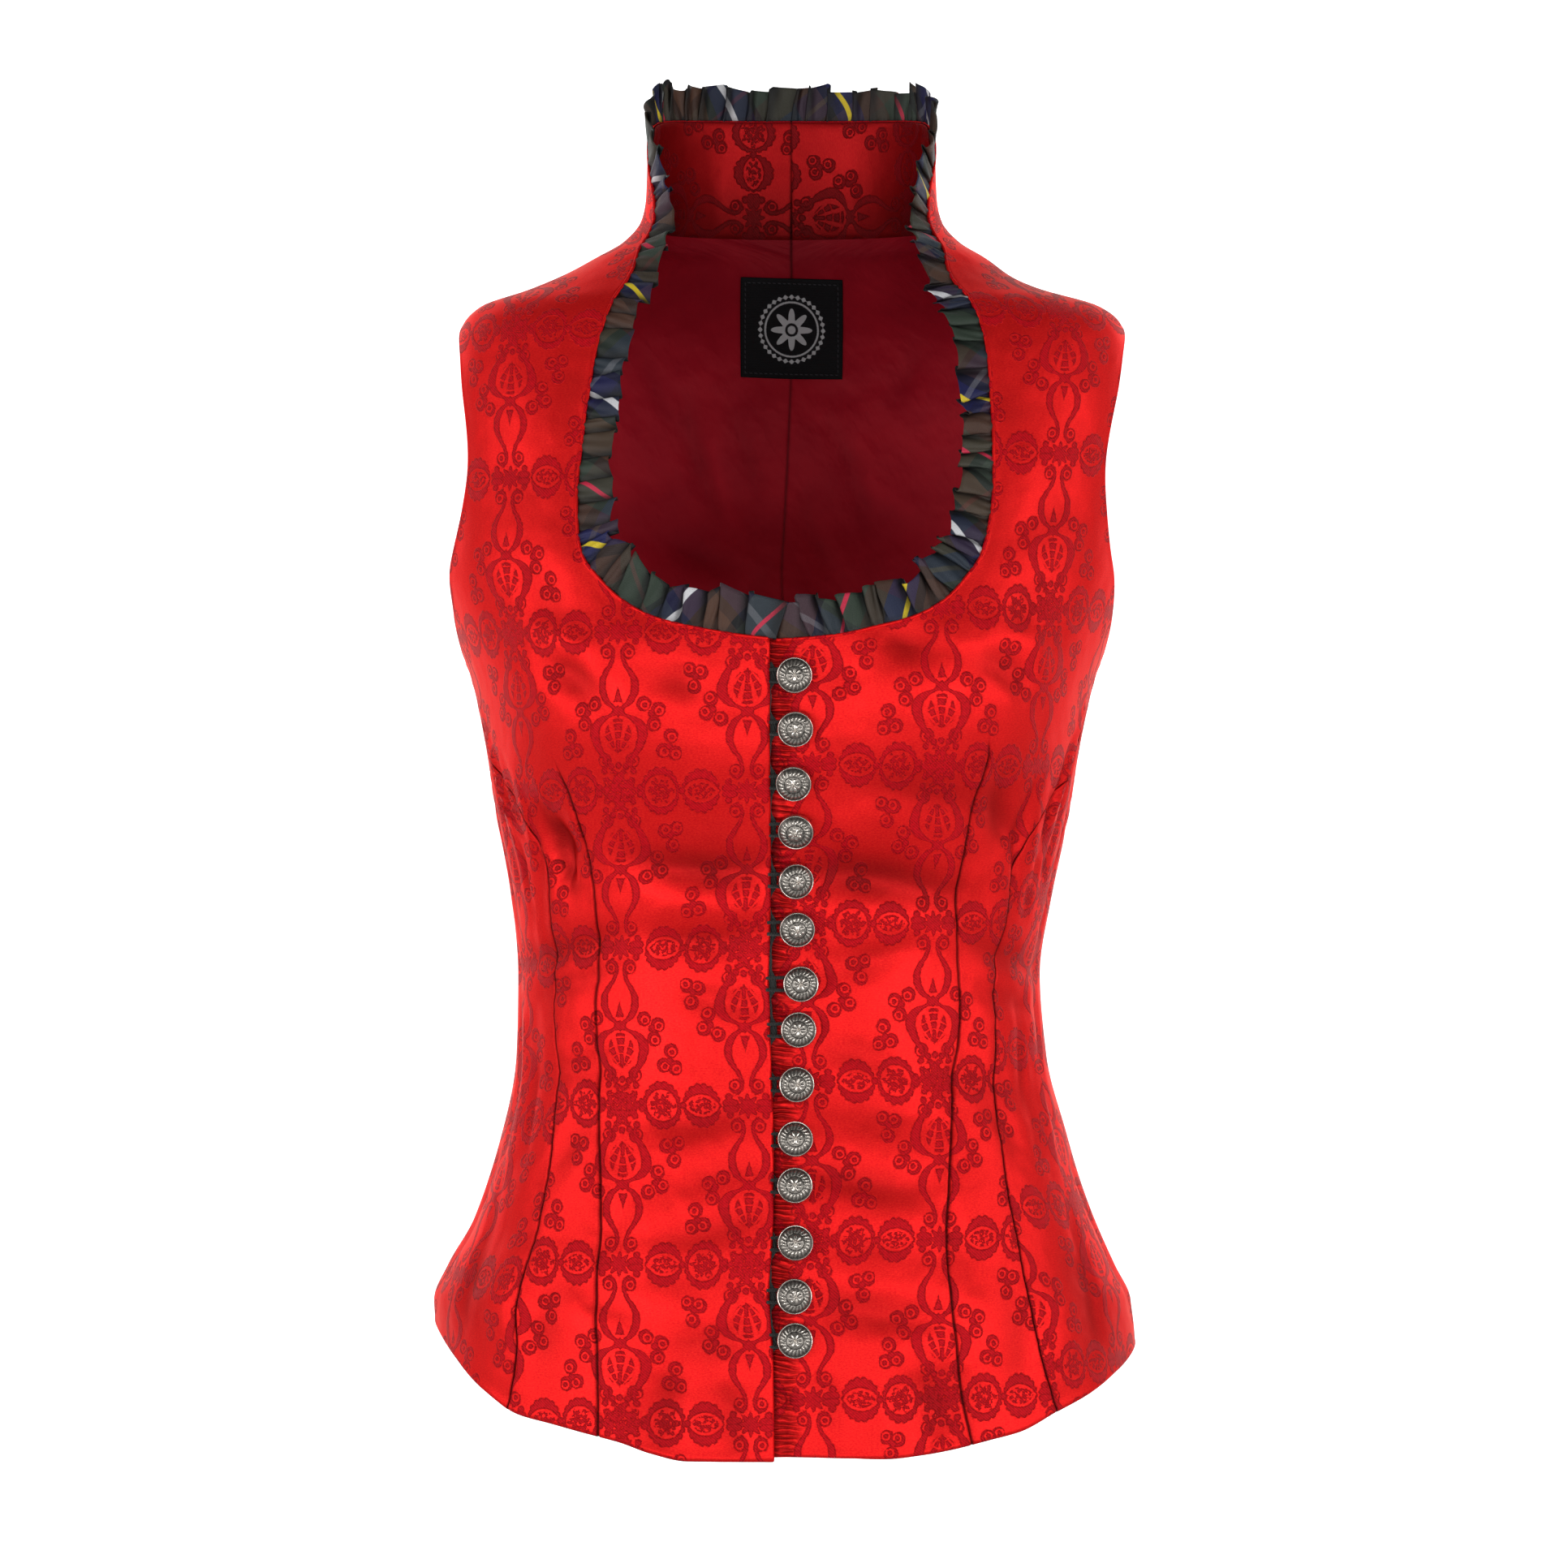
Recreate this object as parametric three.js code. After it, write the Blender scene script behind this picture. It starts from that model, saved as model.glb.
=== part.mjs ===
// A sleeveless bodice in red damask, filled out as if worn, with no wearer.
// Millimetres, +Z up. The front faces -Y and the wearer's left is +X. The origin is the middle
// of the neck base, between the shoulders. The hem is about 550 mm below it.
//
// Every panel is a thin wall on one garment surface, which is given by an angle and a height:
// 0 degrees is the centre front, 90 the wearer's left side and 180 the centre back.

import * as THREE from 'three';

const CLOTH_WALL = 1.6;
const LINING_WALL = 1.0;
const RUFFLE_WALL = 1.0;
const LABEL_WALL = 0.7;
const GAP = 0.3;

const RIGHT = -1;
const LEFT = 1;

const DEGREE = Math.PI / 180;
const MM_PER_DEGREE = 2.3;

// Horizontal sections of the garment. lean is how far the section's centre stands off to the
// wearer's left, roundness is the exponent of the section's superellipse.
const SECTIONS = [
  { z: 80, halfWidth: 66, front: 43, back: 54, roundness: 2.1, lean: 3.8 },
  { z: 60, halfWidth: 66, front: 44, back: 55, roundness: 2.1, lean: 3.8 },
  { z: 40, halfWidth: 66.5, front: 46, back: 57, roundness: 2.1, lean: 3.8 },
  { z: 20, halfWidth: 67.2, front: 49, back: 60, roundness: 2.1, lean: 3.8 },
  { z: 10, halfWidth: 69.3, front: 51, back: 62, roundness: 2.1, lean: 3.8 },
  { z: 0, halfWidth: 77.6, front: 55, back: 65, roundness: 2.15, lean: 3.8 },
  { z: -7.5, halfWidth: 90.6, front: 58, back: 68, roundness: 2.2, lean: 3.9 },
  { z: -15, halfWidth: 104.6, front: 62, back: 72, roundness: 2.2, lean: 4 },
  { z: -22.5, halfWidth: 122.5, front: 66, back: 76, roundness: 2.2, lean: 4.1 },
  { z: -30, halfWidth: 144, front: 70, back: 80, roundness: 2.25, lean: 4.2 },
  { z: -37.5, halfWidth: 151.6, front: 74, back: 84, roundness: 2.3, lean: 4.2 },
  { z: -50, halfWidth: 156, front: 80, back: 89, roundness: 2.3, lean: 3.9 },
  { z: -75, halfWidth: 159, front: 90, back: 97, roundness: 2.3, lean: 3 },
  { z: -105, halfWidth: 158, front: 101, back: 103, roundness: 2.3, lean: 1.6 },
  { z: -125, halfWidth: 158.6, front: 108, back: 106, roundness: 2.3, lean: 0.6 },
  { z: -150, halfWidth: 159, front: 116, back: 108, roundness: 2.3, lean: -0.7 },
  { z: -172, halfWidth: 153.8, front: 120, back: 108, roundness: 2.3, lean: 0 },
  { z: -188, halfWidth: 148.4, front: 122, back: 107, roundness: 2.3, lean: 0 },
  { z: -202.5, halfWidth: 143.3, front: 122, back: 106, roundness: 2.3, lean: 0 },
  { z: -225, halfWidth: 138.2, front: 120, back: 103, roundness: 2.3, lean: -0.1 },
  { z: -262.5, halfWidth: 132, front: 111, back: 96, roundness: 2.3, lean: -0.4 },
  { z: -300, halfWidth: 125, front: 101, back: 88, roundness: 2.3, lean: -0.8 },
  { z: -337.5, halfWidth: 120.4, front: 95, back: 81, roundness: 2.3, lean: -1.9 },
  { z: -375, halfWidth: 122.3, front: 96, back: 83, roundness: 2.3, lean: -0.8 },
  { z: -412.5, halfWidth: 130.7, front: 101, back: 92, roundness: 2.3, lean: 0.5 },
  { z: -450, halfWidth: 143, front: 107, back: 102, roundness: 2.3, lean: 0.5 },
  { z: -472.5, halfWidth: 154.4, front: 110, back: 108, roundness: 2.3, lean: -0.9 },
  { z: -487.5, halfWidth: 161, front: 111, back: 111, roundness: 2.3, lean: -0.5 },
  { z: -502.5, halfWidth: 161.5, front: 112, back: 113, roundness: 2.3, lean: 0.8 },
  { z: -560, halfWidth: 163, front: 113, back: 115, roundness: 2.3, lean: 1.5 },
];

// Soft swellings (height above zero) and troughs (below zero). across and along are the half
// spans in degrees round the body and in millimetres up it; slope is the rise in millimetres
// for each degree.
const FORMS = [
  { name: 'cup right', angle: -37, z: -214, across: 25, along: 42, height: 11, slope: 0 },
  { name: 'cup left', angle: 37, z: -214, across: 25, along: 42, height: 11, slope: 0 },
  { name: 'shoulder dip left', angle: 88, z: -20, across: 30, along: 9, height: -6.5, slope: 0 },
  { name: 'hollow between the cups', angle: 0, z: -222, across: 12, along: 40, height: -2, slope: 0 },
  { name: 'under the right cup', angle: -20, z: -272, across: 18, along: 13, height: -3, slope: 0.1 },
  { name: 'under the left cup', angle: 22, z: -284, across: 18, along: 14, height: -2.6, slope: 0.2 },
  { name: 'beside the right dart', angle: -54, z: -278, across: 7, along: 15, height: -3, slope: 0 },
  { name: 'beside the left dart', angle: 52, z: -264, across: 9, along: 17, height: -3.4, slope: 0 },
  { name: 'waist fold right', angle: -22, z: -321, across: 15, along: 8, height: -1.6, slope: -0.2 },
  { name: 'belly fold right', angle: -15, z: -424, across: 12, along: 9, height: -1.8, slope: 0.3 },
  { name: 'belly fold left', angle: 20, z: -396, across: 18, along: 12, height: -1.8, slope: -0.4 },
  { name: 'low fold right', angle: -28, z: -470, across: 16, along: 9, height: -1.5, slope: 0.2 },
  { name: 'low fold left', angle: 25, z: -458, across: 14, along: 9, height: -1.5, slope: -0.3 },
  { name: 'hem wave right', angle: -27, z: -532, across: 11, along: 22, height: -3, slope: 0 },
  { name: 'hem wave left', angle: 33, z: -528, across: 12, along: 20, height: -2.4, slope: 0 },
  { name: 'hip hollow right', angle: -76, z: -492, across: 9, along: 26, height: -2.6, slope: 0 },
  { name: 'hip hollow left', angle: 74, z: -500, across: 9, along: 24, height: -2.4, slope: 0 },
  { name: 'back waist fold right', angle: -152, z: -338, across: 22, along: 9, height: -2, slope: 0.3 },
  { name: 'back waist fold left', angle: 156, z: -352, across: 20, along: 9, height: -1.8, slope: -0.3 },
  { name: 'back fold high right', angle: -138, z: -236, across: 13, along: 12, height: -1.6, slope: -0.5 },
  { name: 'back fold high left', angle: 134, z: -246, across: 14, along: 12, height: -1.6, slope: 0.4 },
];

// The cloth edge from the collar's front corner down the neckline to the centre front.
const COLLAR_CORNER = { angle: 95, z: 51 };
const NECK_POINT = { angle: 68, z: 6 };
const STRAP_POINT = { angle: 51, z: -54 };
const NECK_BOTTOM = { angle: 0, z: -185.5 };
const COLLAR_FRONT = [
  { angle: 90, z: 45 },
  { angle: 83.5, z: 36 },
  { angle: 77, z: 26 },
  { angle: 73, z: 17.5 },
];
const NECK_SHOULDER = [
  { angle: 63.5, z: -3 },
  { angle: 58.5, z: -11 },
  { angle: 55.1, z: -19 },
  { angle: 52.8, z: -32 },
];
const NECK_FRONT = [
  { angle: 49, z: -79 },
  { angle: 47.4, z: -98.5 },
  { angle: 46, z: -116 },
  { angle: 44, z: -132 },
  { angle: 40.9, z: -148.4 },
  { angle: 37.6, z: -157 },
  { angle: 33.2, z: -166.5 },
  { angle: 26.5, z: -175.2 },
  { angle: 18, z: -180.3 },
  { angle: 9, z: -183.8 },
];

// The shoulder seam, which runs on up the side of the collar, and the armhole.
const COLLAR_SEAM_TOP = { angle: 108, z: 57.5 };
const SHOULDER_NECK = { angle: 106, z: 4 };
const SHOULDER_TIP = { angle: 93.5, z: -35 };
const UNDERARM_FRONT = { angle: 87, z: -193.5 };
const UNDERARM_BACK = { angle: 106.2, z: -162 };
const COLLAR_SEAM = [
  { angle: 107, z: 38 },
  { angle: 106.5, z: 18 },
];
const SHOULDER_SEAM = [
  { angle: 102, z: -5 },
  { angle: 98, z: -17 },
  { angle: 95.4, z: -27 },
];
const ARMHOLE_FRONT = [
  { angle: 86.8, z: -41 },
  { angle: 81.8, z: -50 },
  { angle: 75.8, z: -75 },
  { angle: 72, z: -105 },
  { angle: 71.6, z: -127 },
  { angle: 73.4, z: -150 },
  { angle: 77.8, z: -172 },
  { angle: 82.6, z: -186 },
];
const ARMHOLE_BACK = [
  { angle: 96.5, z: -42 },
  { angle: 99.6, z: -53 },
  { angle: 104.9, z: -77 },
  { angle: 108.5, z: -105 },
  { angle: 109.2, z: -128 },
];
const ARMHOLE_BOTTOM = [
  { angle: 87, z: -193.5 },
  { angle: 92, z: -195 },
  { angle: 97, z: -190 },
  { angle: 102, z: -178.5 },
  { angle: 106.2, z: -162 },
];

// Long seams and darts, as angles on each side at a height.
const FRONT_SIDE_SEAM = [
  { z: -193.5, right: 87, left: 87 },
  { z: -222, right: 81, left: 80.5 },
  { z: -241, right: 73, left: 74 },
  { z: -256, right: 65.8, left: 67 },
  { z: -272, right: 61.5, left: 61.3 },
  { z: -291, right: 59.3, left: 58.2 },
  { z: -314, right: 60.2, left: 58.8 },
  { z: -341, right: 61, left: 57.9 },
  { z: -375, right: 59.3, left: 56 },
  { z: -404, right: 57.8, left: 53.8 },
  { z: -441, right: 56.2, left: 52.3 },
  { z: -475, right: 55.6, left: 52.5 },
  { z: -500, right: 55.6, left: 53 },
  { z: -540, right: 58.4, left: 57 },
];
const DART = [
  { z: -189, right: 51.5, left: 51 },
  { z: -208, right: 48.5, left: 43 },
  { z: -228, right: 47.5, left: 40.6 },
  { z: -239, right: 47.5, left: 42.1 },
  { z: -256, right: 46.6, left: 42.7 },
  { z: -294, right: 46.2, left: 43.7 },
  { z: -346, right: 48, left: 47.2 },
  { z: -397, right: 46.3, left: 42.3 },
  { z: -426, right: 43.6, left: 39.3 },
  { z: -456, right: 41.4, left: 37.2 },
  { z: -500, right: 40, left: 37 },
  { z: -545, right: 39.9, left: 39.6 },
];
const BACK_SIDE_SEAM = [
  { z: -162, right: 106.2, left: 106.2 },
  { z: -190, right: 110, left: 110 },
  { z: -240, right: 116, left: 116 },
  { z: -300, right: 121, left: 121 },
  { z: -345, right: 122.5, left: 122.5 },
  { z: -400, right: 120, left: 120 },
  { z: -460, right: 117, left: 117 },
  { z: -520, right: 116, left: 116 },
];
const DART_TOP = { right: -238, left: -227 };
const DART_DEPTH = 1.1;

// The hem and the collar's top edge, as heights round the body.
const HEM = [
  { angle: 0, right: -551.3, left: -549.6 },
  { angle: 22, right: -551.3, left: -550.3 },
  { angle: 30, right: -548, left: -548.7 },
  { angle: 36, right: -543.4, left: -546.6 },
  { angle: 43, right: -539.6, left: -543 },
  { angle: 49, right: -536.3, left: -539.8 },
  { angle: 56, right: -532.8, left: -532.3 },
  { angle: 63, right: -524, left: -526 },
  { angle: 74, right: -509.5, left: -516.5 },
  { angle: 90, right: -498.5, left: -508.5 },
  { angle: 110, right: -506, left: -511.5 },
  { angle: 135, right: -523, left: -524 },
  { angle: 160, right: -534, left: -534 },
  { angle: 180, right: -537, left: -537 },
];
const COLLAR_TOP = [
  { angle: 95, z: 51 },
  { angle: 99, z: 54.6 },
  { angle: 108, z: 57.5 },
  { angle: 122, z: 59.5 },
  { angle: 150, z: 61 },
  { angle: 180, z: 61.5 },
];

// The centre front: the right front ends just past the centre and the left front runs under it.
const RIGHT_EDGE_ANGLE = 2.9;
const LEFT_EDGE_ANGLE = -11;
const UNDERLAP = 3;
const UNDERLAP_FULL_ANGLE = 11;
const UNDERLAP_END_ANGLE = 21;

// Grid of a front: shares of its width, with three close columns at the dart.
const FRONT_COLUMNS = [0, 0.1, 0.2, 0.3, 0.4, 0.5, 0.565, 0.59, 0.615, 0.68, 0.77, 0.885, 1];
const DART_COLUMN = 7;
const FRONT_ROWS = { collar: 4, shoulder: 6, armhole: 9, body: 15 };
const BACK_ROWS = { collar: 4, shoulder: 6, armhole: 6, body: 15 };
const BACK_COLUMNS = 7;
const SIDE_COLUMNS = 6;
const CENTRE_BACK = { collarTop: 61.5, neck: 3, shoulders: -60, armholes: -165 };

// The back lining and the collar facing lie inside the back, and the label on the lining.
const LINING_DEPTH = CLOTH_WALL + GAP + 0.1;
const LABEL_DEPTH = LINING_DEPTH + LINING_WALL + GAP;
const FACING_SHARE = { top: 0.02, foot: 0.91 };
const FACING_FRONT_COLUMNS = [9, 5, 1];
const LINING_TOP_SHARE = 0.92;
const LINING_HEM_RISE = 9;
const LABEL = { fromX: -20.2, toX: 28.2, top: -9.4, bottom: -55.4, tilt: 1.3, rows: 4, columns: 3 };

// The gathered ruffle. Swing and lean are shares of a pleat's own width.
const RUFFLE_WIDTH_FRONT = 19;
const RUFFLE_WIDTH_COLLAR = 15.5;
const RUFFLE_NARROWS = { from: 0, to: 35 };
const RUFFLE_ROOT_GAP = 0.45;
const RUFFLE_START_LEFT = -1.6;
const RUFFLE_END_LEAN = new THREE.Vector3(0.12, 0, 1);
const RUFFLE_END_REACH = 18;
const PLEAT_PITCH = 11.4;
const PLEAT_STEPS = 6;
const PLEAT_ROWS = 2;
const PLEAT_SWING_ROOT = 0.05;
const PLEAT_SWING_EDGE = 0.33;
const PLEAT_LEAN = 0.11;
const PATH_WINDOW = 5;

// Buttons, from the top: distance from the centre line and height of each.
const BUTTONS = [
  { x: 5.0, z: -201.9 },
  { x: 5.4, z: -225.3 },
  { x: 4.8, z: -249.4 },
  { x: 5.8, z: -270.7 },
  { x: 5.4, z: -293.2 },
  { x: 6.2, z: -314.7 },
  { x: 8.0, z: -339.5 },
  { x: 6.9, z: -360.1 },
  { x: 5.8, z: -384.4 },
  { x: 5.4, z: -408.9 },
  { x: 5.4, z: -429.3 },
  { x: 5.4, z: -454.8 },
  { x: 4.7, z: -478.0 },
  { x: 5.4, z: -497.8 },
];
const BUTTON_SIZE = { radius: 8, rim: 1.1, dome: 4.6, lift: 0.45, sides: 8 };
const BUTTON_SHANK = { radius: 1.5, gap: 0.6 };
const LOOP = { cord: 1.5, sides: 4, steps: 9, halfHeight: 2.9, depth: 0.9 };
const LOOP_CLEARANCE = 0.25;

const MATERIALS = {
  damask: { color: 0xd42026, roughness: 0.45, metalness: 0 },
  satin: { color: 0x6a0d18, roughness: 0.5, metalness: 0 },
  check: { color: 0x2c3632, roughness: 0.6, metalness: 0 },
  woven: { color: 0x111214, roughness: 0.8, metalness: 0 },
  pewter: { color: 0x8f8f8a, roughness: 0.35, metalness: 0.9 },
  cord: { color: 0x16201c, roughness: 0.7, metalness: 0 },
};

const group = new THREE.Group();

function addPiece(name, geometry, look) {
  const mesh = new THREE.Mesh(geometry, new THREE.MeshStandardMaterial(MATERIALS[look]));
  mesh.name = name;
  group.add(mesh);
  return mesh;
}

// A smooth curve through a table's column that never overshoots its rows (monotone cubic).
function smoothColumn(table, from, to) {
  const rows = [...table].sort((a, b) => a[from] - b[from]);
  const x = rows.map((row) => row[from]);
  const y = rows.map((row) => row[to]);
  const rise = x.slice(1).map((next, i) => (y[i + 1] - y[i]) / (next - x[i]));
  const slope = x.map((_, i) => {
    if (i === 0) return rise[0];
    if (i === x.length - 1) return rise[i - 1];
    if (rise[i - 1] * rise[i] <= 0) return 0;
    const before = x[i] - x[i - 1];
    const after = x[i + 1] - x[i];
    const w1 = 2 * after + before;
    const w2 = after + 2 * before;
    return (w1 + w2) / (w1 / rise[i - 1] + w2 / rise[i]);
  });
  return (at) => {
    if (at <= x[0]) return y[0];
    if (at >= x[x.length - 1]) return y[y.length - 1];
    let i = 0;
    while (at > x[i + 1]) i += 1;
    const span = x[i + 1] - x[i];
    const t = (at - x[i]) / span;
    const h = t * t * (3 - 2 * t);
    const ease0 = span * t * (1 - t) * (1 - t);
    const ease1 = span * t * t * (t - 1);
    return y[i] * (1 - h) + y[i + 1] * h + slope[i] * ease0 + slope[i + 1] * ease1;
  };
}

const halfWidthAt = smoothColumn(SECTIONS, 'z', 'halfWidth');
const frontAt = smoothColumn(SECTIONS, 'z', 'front');
const backAt = smoothColumn(SECTIONS, 'z', 'back');
const roundnessAt = smoothColumn(SECTIONS, 'z', 'roundness');
const leanAt = smoothColumn(SECTIONS, 'z', 'lean');
const collarTopAt = smoothColumn(COLLAR_TOP, 'angle', 'z');
const armholeBottomAt = smoothColumn(ARMHOLE_BOTTOM, 'angle', 'z');

function sideColumn(table, from, side) {
  return smoothColumn(table, from, side === RIGHT ? 'right' : 'left');
}

const hems = { [RIGHT]: sideColumn(HEM, 'angle', RIGHT), [LEFT]: sideColumn(HEM, 'angle', LEFT) };

// Angles are compared within half a turn, so forms near the centre back work on both sides.
function turnBetween(angle, other) {
  return ((angle - other + 540) % 360) - 180;
}

function formHeight(angle, z) {
  let height = 0;
  for (const form of FORMS) {
    const turn = turnBetween(angle, form.angle);
    const across = turn / form.across;
    const along = (z - form.z - form.slope * turn) / form.along;
    height += form.height * Math.exp(-(across * across) - along * along);
  }
  return height;
}

function radiusAt(angle, z) {
  const sine = Math.abs(Math.sin(angle * DEGREE));
  const cosine = Math.cos(angle * DEGREE);
  const depth = cosine > 0 ? frontAt(z) : backAt(z);
  const power = roundnessAt(z);
  const sum = (sine / halfWidthAt(z)) ** power + (Math.abs(cosine) / depth) ** power;
  return sum ** (-1 / power) + formHeight(angle, z);
}

function surfacePoint(angle, z) {
  const radius = radiusAt(angle, z);
  const x = leanAt(z) + radius * Math.sin(angle * DEGREE);
  return new THREE.Vector3(x, -radius * Math.cos(angle * DEGREE), z);
}

function surfaceNormal(angle, z) {
  const round = surfacePoint(angle + 0.5, z).sub(surfacePoint(angle - 0.5, z));
  const up = surfacePoint(angle, z + 1).sub(surfacePoint(angle, z - 1));
  return round.cross(up).normalize();
}

// The point that lies a given depth inside the outer face of the cloth.
function insidePoint(angle, z, depth) {
  return surfacePoint(angle, z).addScaledVector(surfaceNormal(angle, z), -depth);
}

function degreesFor(length, angle, z) {
  return length / radiusAt(angle, z) / DEGREE;
}

// A closed wall between two grids of points with the same rows and columns.
function wallBetween(outer, inner) {
  const rows = outer.length;
  const columns = outer[0].length;
  const positions = [];
  for (const grid of [outer, inner]) {
    for (const row of grid) {
      for (const point of row) positions.push(point.x, point.y, point.z);
    }
  }
  const at = (layer, i, j) => layer * rows * columns + i * columns + j;
  const index = [];
  const quad = (a, b, c, d) => index.push(a, b, c, a, c, d);
  for (let i = 0; i < rows - 1; i += 1) {
    for (let j = 0; j < columns - 1; j += 1) {
      quad(at(0, i, j), at(0, i + 1, j), at(0, i + 1, j + 1), at(0, i, j + 1));
      quad(at(1, i, j), at(1, i, j + 1), at(1, i + 1, j + 1), at(1, i + 1, j));
    }
    quad(at(0, i, 0), at(1, i, 0), at(1, i + 1, 0), at(0, i + 1, 0));
    const end = columns - 1;
    quad(at(0, i, end), at(0, i + 1, end), at(1, i + 1, end), at(1, i, end));
  }
  for (let j = 0; j < columns - 1; j += 1) {
    quad(at(0, 0, j), at(0, 0, j + 1), at(1, 0, j + 1), at(1, 0, j));
    quad(at(0, rows - 1, j), at(1, rows - 1, j), at(1, rows - 1, j + 1), at(0, rows - 1, j + 1));
  }
  const geometry = new THREE.BufferGeometry();
  geometry.setAttribute('position', new THREE.Float32BufferAttribute(positions, 3));
  geometry.setIndex(enclosedVolume(positions, index) < 0 ? index.reverse() : index);
  return geometry;
}

function enclosedVolume(positions, index) {
  const corner = (k) => new THREE.Vector3().fromArray(positions, index[k] * 3);
  let volume = 0;
  for (let k = 0; k < index.length; k += 3) {
    volume += corner(k).dot(corner(k + 1).cross(corner(k + 2))) / 6;
  }
  return volume;
}

// The points of a grid of places at a depth under each place's own.
function sheetAt(places, depth) {
  return places.map((row) => row.map((p) => insidePoint(p.angle, p.z, p.depth + depth)));
}

// A wall on the garment surface. Each place has an angle, a height and its outer face's depth.
function clothWall(places, wall) {
  return wallBetween(sheetAt(places, 0), sheetAt(places, wall));
}

// The rows of a grid of points from one row to another, either of them between two rows.
function rowsBetween(points, from, to) {
  const rowAt = (at) => {
    const i = Math.min(points.length - 2, Math.floor(at));
    return points[i].map((p, j) => p.clone().lerp(points[i + 1][j], at - i));
  };
  const whole = points.filter((_, i) => i > from && i < to);
  return [rowAt(from), ...whole, rowAt(to)];
}

// A lining or facing wall under part of a grid of places, on the same facets.
function liningWall(places, from, to) {
  const outer = rowsBetween(sheetAt(places, LINING_DEPTH), from, to);
  const inner = rowsBetween(sheetAt(places, LINING_DEPTH + LINING_WALL), from, to);
  return wallBetween(outer, inner);
}

// A guide is a smooth curve through places, and gives the place at a share of its length.
function guide(places) {
  const points = places.map((p) => new THREE.Vector3(p.angle * MM_PER_DEGREE, p.z, 0));
  const curve = new THREE.CatmullRomCurve3(points, false, 'centripetal');
  curve.arcLengthDivisions = 400;
  return (share) => {
    const point = curve.getPointAt(share);
    return { angle: point.x / MM_PER_DEGREE, z: point.y };
  };
}

function seamGuide(table, side, top) {
  const angleAt = sideColumn(table, 'z', side);
  const bottom = seamFoot(angleAt, hems[side]);
  return (share) => {
    const z = top + (bottom - top) * share;
    return { angle: angleAt(z), z };
  };
}

// The height where a long seam meets the hem.
function seamFoot(angleAt, hemAt) {
  let z = hemAt(90);
  for (let round = 0; round < 20; round += 1) z = hemAt(angleAt(z));
  return z;
}

function straightGuide(angle, top, bottom) {
  return (share) => ({ angle, z: top + (bottom - top) * share });
}

// Moves a guide round the body, towards smaller angles for a positive length.
function shifted(guideAt, length) {
  return (share) => {
    const place = guideAt(share);
    return { angle: place.angle - degreesFor(length, place.angle, place.z), z: place.z };
  };
}

function between(a, b, share) {
  return { angle: a.angle + (b.angle - a.angle) * share, z: a.z + (b.z - a.z) * share };
}

// A patch gives the place at a share down and a share across, here from guide to guide.
function across(innerGuide, outerGuide) {
  return (down, over) => between(innerGuide(down), outerGuide(down), over);
}

// Bends a patch so that its foot lies on an edge that is given as heights round the body.
function footOn(edgeAt, patch) {
  return (down, over) => {
    const foot = patch(1, over);
    const place = patch(down, over);
    return { angle: place.angle, z: place.z + (edgeAt(Math.abs(foot.angle)) - foot.z) * down ** 2 };
  };
}

function headOn(edgeAt, patch) {
  return (down, over) => {
    const head = patch(0, over);
    const place = patch(down, over);
    return { angle: place.angle, z: place.z + (edgeAt(head.angle) - head.z) * (1 - down) ** 2 };
  };
}

function evenShares(count) {
  return Array.from({ length: count + 1 }, (_, i) => i / count);
}

// The places of patches that follow each other down a panel, as one grid.
function stackPatches(shares, stack) {
  return stack.flatMap(({ rows, patch }, block) => {
    const downs = evenShares(rows).slice(block === 0 ? 0 : 1);
    return downs.map((down) => shares.map((over) => patch(down, over)));
  });
}

function onSide(places, side, depthAt) {
  return places.map((row) => row.map((p) => ({ angle: side * p.angle, z: p.z, depth: depthAt(p) })));
}

function smoothStep(from, to, at) {
  const t = Math.min(1, Math.max(0, (at - from) / (to - from)));
  return t * t * (3 - 2 * t);
}

const neckGuides = {
  collar: guide([COLLAR_CORNER, ...COLLAR_FRONT, NECK_POINT]),
  shoulder: guide([NECK_POINT, ...NECK_SHOULDER, STRAP_POINT]),
};
const seamGuides = {
  collar: guide([COLLAR_SEAM_TOP, ...COLLAR_SEAM, SHOULDER_NECK]),
  shoulder: guide([SHOULDER_NECK, ...SHOULDER_SEAM, SHOULDER_TIP]),
};
const armholeGuides = {
  front: guide([SHOULDER_TIP, ...ARMHOLE_FRONT, UNDERARM_FRONT]),
  back: guide([SHOULDER_TIP, ...ARMHOLE_BACK, UNDERARM_BACK]),
};

// The left front runs on past the centre, so its neckline passes the lowest point.
function neckFrontGuide(side) {
  if (side === RIGHT) return guide([STRAP_POINT, ...NECK_FRONT, frontCorner(side)]);
  return guide([STRAP_POINT, ...NECK_FRONT, NECK_BOTTOM, frontCorner(side)]);
}

function frontCorner(side) {
  if (side === RIGHT) return { angle: RIGHT_EDGE_ANGLE, z: NECK_BOTTOM.z + 0.2 };
  return { angle: LEFT_EDGE_ANGLE, z: NECK_BOTTOM.z - 1 };
}

function underlapDepth(angle) {
  return UNDERLAP * (1 - smoothStep(UNDERLAP_FULL_ANGLE, UNDERLAP_END_ANGLE, angle));
}

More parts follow.
